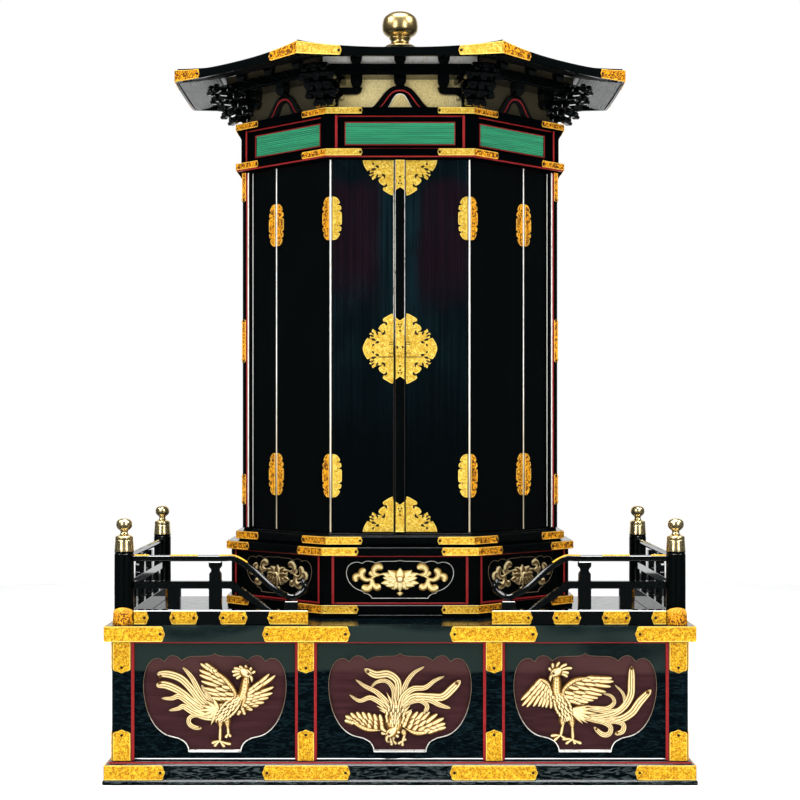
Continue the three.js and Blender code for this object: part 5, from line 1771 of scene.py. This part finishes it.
def frog_leg(black, red, pale, face, middle):
    """Frog-leg strut: bands between bell curves, each falling from its apex by a cosine of a power of the way
    out."""
    t = np.linspace(-1, 1, 61)
    fall = 0.5 + 0.5 * np.cos(np.pi * np.abs(t) ** 1.4)

    def bell(half, rise):
        return joined(middle + half * t, BRACKET_BOTTOM + 0.3 + rise * fall)

    fitting(black, face, bell(*STRUT_OPENING), bell(*STRUT_OUTER), eased(-0.5, 5.0, 0.8))
    fitting(red, face, bell(*STRUT_RED[0]), bell(*STRUT_RED[1]), eased(4.0, 5.5, 0.3))
    fitting(pale, face, bell(*STRUT_PALE), bell(*STRUT_OPENING), eased(-0.4, 3.0, 0.3))


def rounded_arm(shell, face, start, stop, out):
    """Arm along the board whose free end curves up in a quarter circle."""
    bottom, top = ARM_Z
    t = np.linspace(0, 1, 24)
    along = start + (stop - start) * t
    near = np.clip(np.abs(stop - along) / (top - bottom), 0, 1)
    lower = top - (top - bottom) * np.sqrt(np.clip(1 - (1 - near) ** 2, 0.02, 1))
    fitting(shell, face, joined(along, lower), joined(along, top), eased(-0.5, out, 0.8))


def bracket_bay(work, face, purlin_face, middle, half):
    """One bay between clusters: gold board, strut, arms, bearing blocks, purlin and the strip above it."""
    black, red, pale, board, panels = work
    bar(board, face, (middle - half, middle + half), (BRACKET_BOTTOM + 0.1, CEILING_Z), (-1, 0.4), STRIP_EASE)
    frog_leg(black, red, pale, face, middle)
    bearing_block(black, face, middle, 5, BRACKET_BOTTOM + STRUT_OUTER[1] - 0.5, CEILING_Z, 9.5)
    for way in (-1, 1):
        rounded_arm(black, face, middle + way * (half - ARM_GAP), middle + way * (BAY_BLOCK_X - 9), 9)
        bearing_block(black, face, middle + way * BAY_BLOCK_X, 5, ARM_Z[1] - 0.3, CEILING_Z, 9.0)
    depth = PURLIN_OFFSET - BOARD_OFFSET
    reach = half + MITRE * depth

    def level_bar(shell, short, up, out, ease):
        bar(shell, purlin_face, (middle - reach + short, middle + reach - short), up, out, ease)

    level_bar(black, 0, (CEILING_Z + 2.2, PURLIN_TOP), (-PURLIN_DEPTH, 0), 0.8)
    level_bar(black, 16, (CEILING_Z - 0.4, CEILING_Z + 2.0), (-depth, -0.8), 0.2)
    level_bar(panels, 6, (PURLIN_TOP - 0.2, BRACKET_TOP + 2), (-12, -6), 0.3)
    for across in (-BAY_BLOCK_X, 0, BAY_BLOCK_X):
        bearing_block(black, purlin_face, middle + across, -6, PURLIN_TOP - 0.2, BRACKET_TOP + 2, 9)


def brackets():
    """Core, corner clusters and bays of the bracket tier under the eaves."""
    ahead, sides = shells(5), shells(5)
    black, clusters = ahead[0], sides[0]
    core = np.roll(plan(BOARD_OFFSET, BACK_Y), -1, axis=0)
    levels = np.array([BRACKET_BOTTOM, BRACKET_TOP + 1])[:, None]
    black.sweep(joined(*core.T, levels))
    bracket_bay(ahead, front(BOARD_OFFSET), front(PURLIN_OFFSET), 0, front_half(BOARD_OFFSET))
    half = diagonal_length(BOARD_OFFSET) / 2
    purlin_face = diagonal(PURLIN_OFFSET)
    slide = diagonal_length(PURLIN_OFFSET) / 2 - half
    purlin_face.origin = purlin_face.origin + slide * purlin_face.across
    bracket_bay(sides, diagonal(BOARD_OFFSET), purlin_face, half, half)
    sine, cosine = math.sin(math.pi / 8), math.cos(math.pi / 8)
    bracket_cluster(clusters, (FRONT_HALF, FRONT_Y), (sine, -cosine))
    bracket_cluster(clusters, (CORNER_X, side(0).origin[Y]), (cosine, -sine))
    flank = side(PURLIN_OFFSET)
    bar(clusters, flank, (0, BACK_Y - flank.origin[Y]), (CEILING_Z, PURLIN_TOP), (-PURLIN_DEPTH, 0), ease=0.8)
    black.piece("bracket_work", BLACK, "black_lacquer", replaces=["bracket_tier"])
    clusters.mirror().piece("bracket_clusters", ROUND_BLACK, "black_lacquer")
    # Rows: piece name, front finish, the slanting bays' darker finish as painted shade, slot; the red lines
    # are alike
    finishes = (("bracket_red_lines", RED, RED, "vermilion_lacquer"),
                ("bracket_pale_lines", LINE, RAFTER, "gold_leaf"),
                ("bracket_boards", LEAFED_BOARD, SHADED_BOARD, "gold_leaf"),
                ("bracket_panels", LINE, SHADED_BOARD, "gold_leaf"))
    for middle, flanks, (name, finish, shaded, slot) in zip(ahead[1:], sides[1:], finishes):
        middle.piece(f"{name}_front", finish, slot)
        flanks.mirror().piece(f"{name}_slanting", shaded, slot)


# Roof

EAVE_OFFSET = 111
EAVE_BACK_Y = high("roof", Y)
EAVE_BOTTOM = low("roof", Z)
EAVE_TOP = 1090.6
EAVE_RISE_BOTTOM = 3.4
EAVE_RISE_TOP = 9.4
EAVE_CURVE = 2.4
ROOF_APEX = np.array([0, 36, high("roof", Z)])
ROOF_SWEEP = 1.35
SOFFIT_INNER = 42
SOFFIT_RISE = 17.5
RAFTER_PITCH = 9.0
RAFTER_HALF = 2.0
# Where a rafter's underside and top lie, from the soffit
RAFTER_Z = -3.2, 0.6
FLANK_RIB_PITCH = 4.5
# The lip under the eave's edge: its width and its height
EAVE_LIP = 4
LIP_HEIGHT = 4
# Share that the eave's upper arris draws in
EAVE_EASE = 0.999
EAVE_STEPS = 24
HIP_RADIUS = 2.2
# A hip's bar: how far inside the corner it starts, and its start and end as shares of the way to the apex
HIP_INSET = 2
HIP_RUN = 0.004, 0.93
SLOPE_STEPS = 26


def eave_line(offset, back):
    """Points round the plan, with each one's share of the way from the middle of its edge to a corner."""
    corners = plan(offset, back)
    t = np.arange(EAVE_STEPS) / EAVE_STEPS
    following = np.roll(corners, -1, axis=0)
    points = corners[:, None] + (following - corners)[:, None] * t[:, None]
    return points.reshape(-1, 2), np.tile(np.abs(2 * t - 1), len(corners))


def roof():
    """Closed roof skin: soffit, eave lip and fascia, then hollow slopes rising to the apex by a power curve;
    a round bar on each hip."""
    shell, hips = shells(2)
    edge, corner = eave_line(EAVE_OFFSET, EAVE_BACK_Y)
    lip, _ = eave_line(EAVE_OFFSET - EAVE_LIP, EAVE_BACK_Y - EAVE_LIP)
    inner, _ = eave_line(SOFFIT_INNER, BACK_Y)
    bottom = EAVE_BOTTOM + EAVE_RISE_BOTTOM * corner**EAVE_CURVE
    top = EAVE_TOP + EAVE_RISE_TOP * corner**EAVE_CURVE
    soffit_z = EAVE_BOTTOM + SOFFIT_RISE

    def ring(points, height):
        return joined(*points.T, height)

    arris = edge * EAVE_EASE
    rings = [ring(0 * inner + ROOF_APEX[:2], soffit_z), ring(inner, soffit_z),
             ring(lip, bottom + LIP_HEIGHT), ring(lip, bottom), ring(edge, bottom),
             ring(edge, top - 1), ring(arris, top)]
    for s in np.linspace(0, 1, SLOPE_STEPS)[1:]:
        height = top + (ROOF_APEX[Z] - top) * s**ROOF_SWEEP
        rings.append(ring(arris + (ROOF_APEX[:2] - arris) * s, height))
    shell.grid(np.stack(rings), around=True)
    shell.piece("roof_shell", BLACK, "black_lacquer", replaces=["roof"])
    s = np.linspace(*HIP_RUN, 40)[:, None]
    for start in plan(EAVE_OFFSET - HIP_INSET, EAVE_BACK_Y - HIP_INSET):
        flat = start + (ROOF_APEX[:2] - start) * s
        height = EAVE_TOP + EAVE_RISE_TOP + (ROOF_APEX[Z] - EAVE_TOP - EAVE_RISE_TOP) * s**ROOF_SWEEP
        way = (ROOF_APEX[:2] - start) / np.linalg.norm(ROOF_APEX[:2] - start)
        tube(hips, joined(*flat.T, height[:, 0]), HIP_RADIUS, (-way[1], way[0], 0), sides=8)
    hips.piece("roof_hips", BLACK, "black_lacquer")


def rafters():
    """Close-set rafters under the eaves: thin bars from the eave lip up to the wall, cut at the mitres.

    Under the sides, a pale grey rippled sheet runs from front to back."""
    shell, sides, flanks = shells(3)
    far, near = EAVE_OFFSET - EAVE_LIP - 0.5, SOFFIT_INNER
    slope = (SOFFIT_RISE - LIP_HEIGHT) / (far - near)

    def rafter(target, face, across, start):
        out = np.array([start, far])[:, None]
        up = EAVE_BOTTOM + LIP_HEIGHT + slope * (far - out)
        u = across + RAFTER_HALF * np.array([-1, 1, 1, -1])
        v = up + np.repeat(RAFTER_Z, 2)
        target.sweep(face.at(u, v, out))

    half = front_half(far)
    for across in np.arange(-half + 6, half - 5, RAFTER_PITCH):
        start = max(near, (abs(across) - FRONT_HALF) / MITRE)
        rafter(shell, front(0), across, start)
    length = diagonal_length(0)
    reach = MITRE * far
    for across in np.arange(-reach + 6, length + reach - 5, RAFTER_PITCH):
        beyond = max(-across, across - length)
        rafter(sides, diagonal(0), across, max(near, beyond / MITRE))
    out = np.linspace(near + 1, far - 1, 6 * int((far - near) / FLANK_RIB_PITCH) + 1)
    rib = np.abs(np.sin(math.pi * (out - out[0]) / FLANK_RIB_PITCH))
    under = EAVE_BOTTOM + LIP_HEIGHT + slope * (far - out)
    ring_out = np.concatenate([out, out[::-1]])
    ring_z = np.concatenate([under - 1.6 - 0.7 * rib, under[::-1] + 0.4])
    start = CORNER_X - FRONT_HALF + FRONT_Y - MITRE * ring_out + 2
    stop = EAVE_BACK_Y - EAVE_LIP - 1
    rings = [joined(CORNER_X + ring_out, y, ring_z) for y in (start, stop)]
    flanks.sweep(np.stack(rings))
    shell.piece("rafters_front", RAFTER, "black_lacquer")
    sides.mirror().piece("rafters_slanting", RAFTER, "black_lacquer")
    flanks.mirror().piece("rafters_sides", PALE_RAFTER, "black_lacquer")


EAVE_PLATE = 67
EAVE_PLATE_SLANTED = 62


def eave_plates():
    """Gilt plates at the eave's corners, following its curve."""
    shell, nails, dark, dark_nails = shells(4)
    middle = (EAVE_BOTTOM + EAVE_TOP) / 2
    lift, spread = (EAVE_RISE_BOTTOM + EAVE_RISE_TOP) / 2, (EAVE_RISE_TOP - EAVE_RISE_BOTTOM) / 2
    half = (EAVE_TOP - EAVE_BOTTOM) / 2 - 0.3

    def curve(start, length):
        def share(a):
            return np.clip(np.abs(a - start - length / 2) / (length / 2), 0, 1) ** EAVE_CURVE
        return (lambda a: middle + lift * share(a)), (lambda a: half + spread * share(a))

    edge = front_half(EAVE_OFFSET)
    span = (edge - EAVE_PLATE, edge + 0.4)
    plate(shell, nails, front(EAVE_OFFSET), span, *curve(-edge, 2 * edge), START)
    flank = side(EAVE_OFFSET)
    lengths = diagonal_length(EAVE_OFFSET), EAVE_BACK_Y - flank.origin[Y]
    for face, length in zip((diagonal(EAVE_OFFSET), flank), lengths):
        far = (length - EAVE_PLATE_SLANTED, length + 0.4)
        plate(dark, dark_nails, face, (-0.4, EAVE_PLATE_SLANTED), *curve(0, length), STOP)
        plate(dark, dark_nails, face, far, *curve(0, length), START)
    gilt_pieces((shell, "eave_plates_front", FINE_PUNCHED), (dark, "eave_plates_slanting", ENGRAVED),
                (nails, "eave_plate_nails_front", NAIL), (dark_nails, "eave_plate_nails_slanting", NAIL))


JEWEL = [(25, 1142.7), (24, 1144), (18.5, 1146.6), (15.4, 1149), (14.8, 1151.5), (15.6, 1154), (17.3, 1156.2),
         (17.3, 1157.6), (16, 1159), (19.8, 1160.6), (24.4, 1163.4), (27.6, 1167.4), (28.8, 1172.5),
         (28.9, 1178.5), (28, 1184.5), (26.1, 1189.5), (22, 1193.8), (15.5, 1197.6), (8, 1199.6), (0, 1200)]


def jewel():
    """Jewel finial: a flattened ball on a ringed neck and a flared foot, turned."""
    shell = Shell()
    profile = np.concatenate([[(0, JEWEL[0][1])], spline(JEWEL, 90)])
    profile[:, 0] = np.maximum(profile[:, 0], 0)
    turned(shell, profile, *ROOF_APEX[:2], segments=64)
    shell.piece("jewel_finial", DEEP_BRASS, "brass", replaces=["jewel"], crease=60)


EASE = 1.2
FINE_EASE = 0.5
REPLACED = ("platform_panel_left", "platform_panel_middle", "platform_panel_right", "phoenix", "railing_post",
            "railing_cap", "top_rail", "bracket_tier", "roof", "jewel", "hinge")
KEPT_FINISHES = {"front_door": (DOOR_BLACK, FINE_EASE), "side_door": (BLACK, FINE_EASE),
                 "centre_stile": (BLACK, FINE_EASE), "platform_bottom": (FOOT_BLACK, EASE),
                 "platform_top": (BOARD_BLACK, EASE), "platform_post": (BOARD_BLACK, EASE),
                 "platform_mid_post": (BOARD_BLACK, EASE), "railing": (ROUND_BLACK, EASE),
                 "frieze": (MATT_BLACK, EASE)}


def dress_kept_parts():
    """Finishes for the CAD pieces that stay in sight, chosen by how their names start."""
    for node in frame["nodes"]:
        if not node.startswith(REPLACED):
            chosen = [finish for start, finish in KEPT_FINISHES.items() if node.startswith(start)]
            dress(node, *(chosen or [(BLACK, EASE)])[0])


camera()
studio()
floor()
dress_kept_parts()
platform_windows()
platform_red_lines()
platform_plates()
phoenixes()
railing()
band_plates()
waist_panels()
frieze_panels()
red_lines()
hinge_rods()
door_fittings()
stile_fittings()
corner_posts()
linings()
brackets()
roof()
rafters()
eave_plates()
jewel()
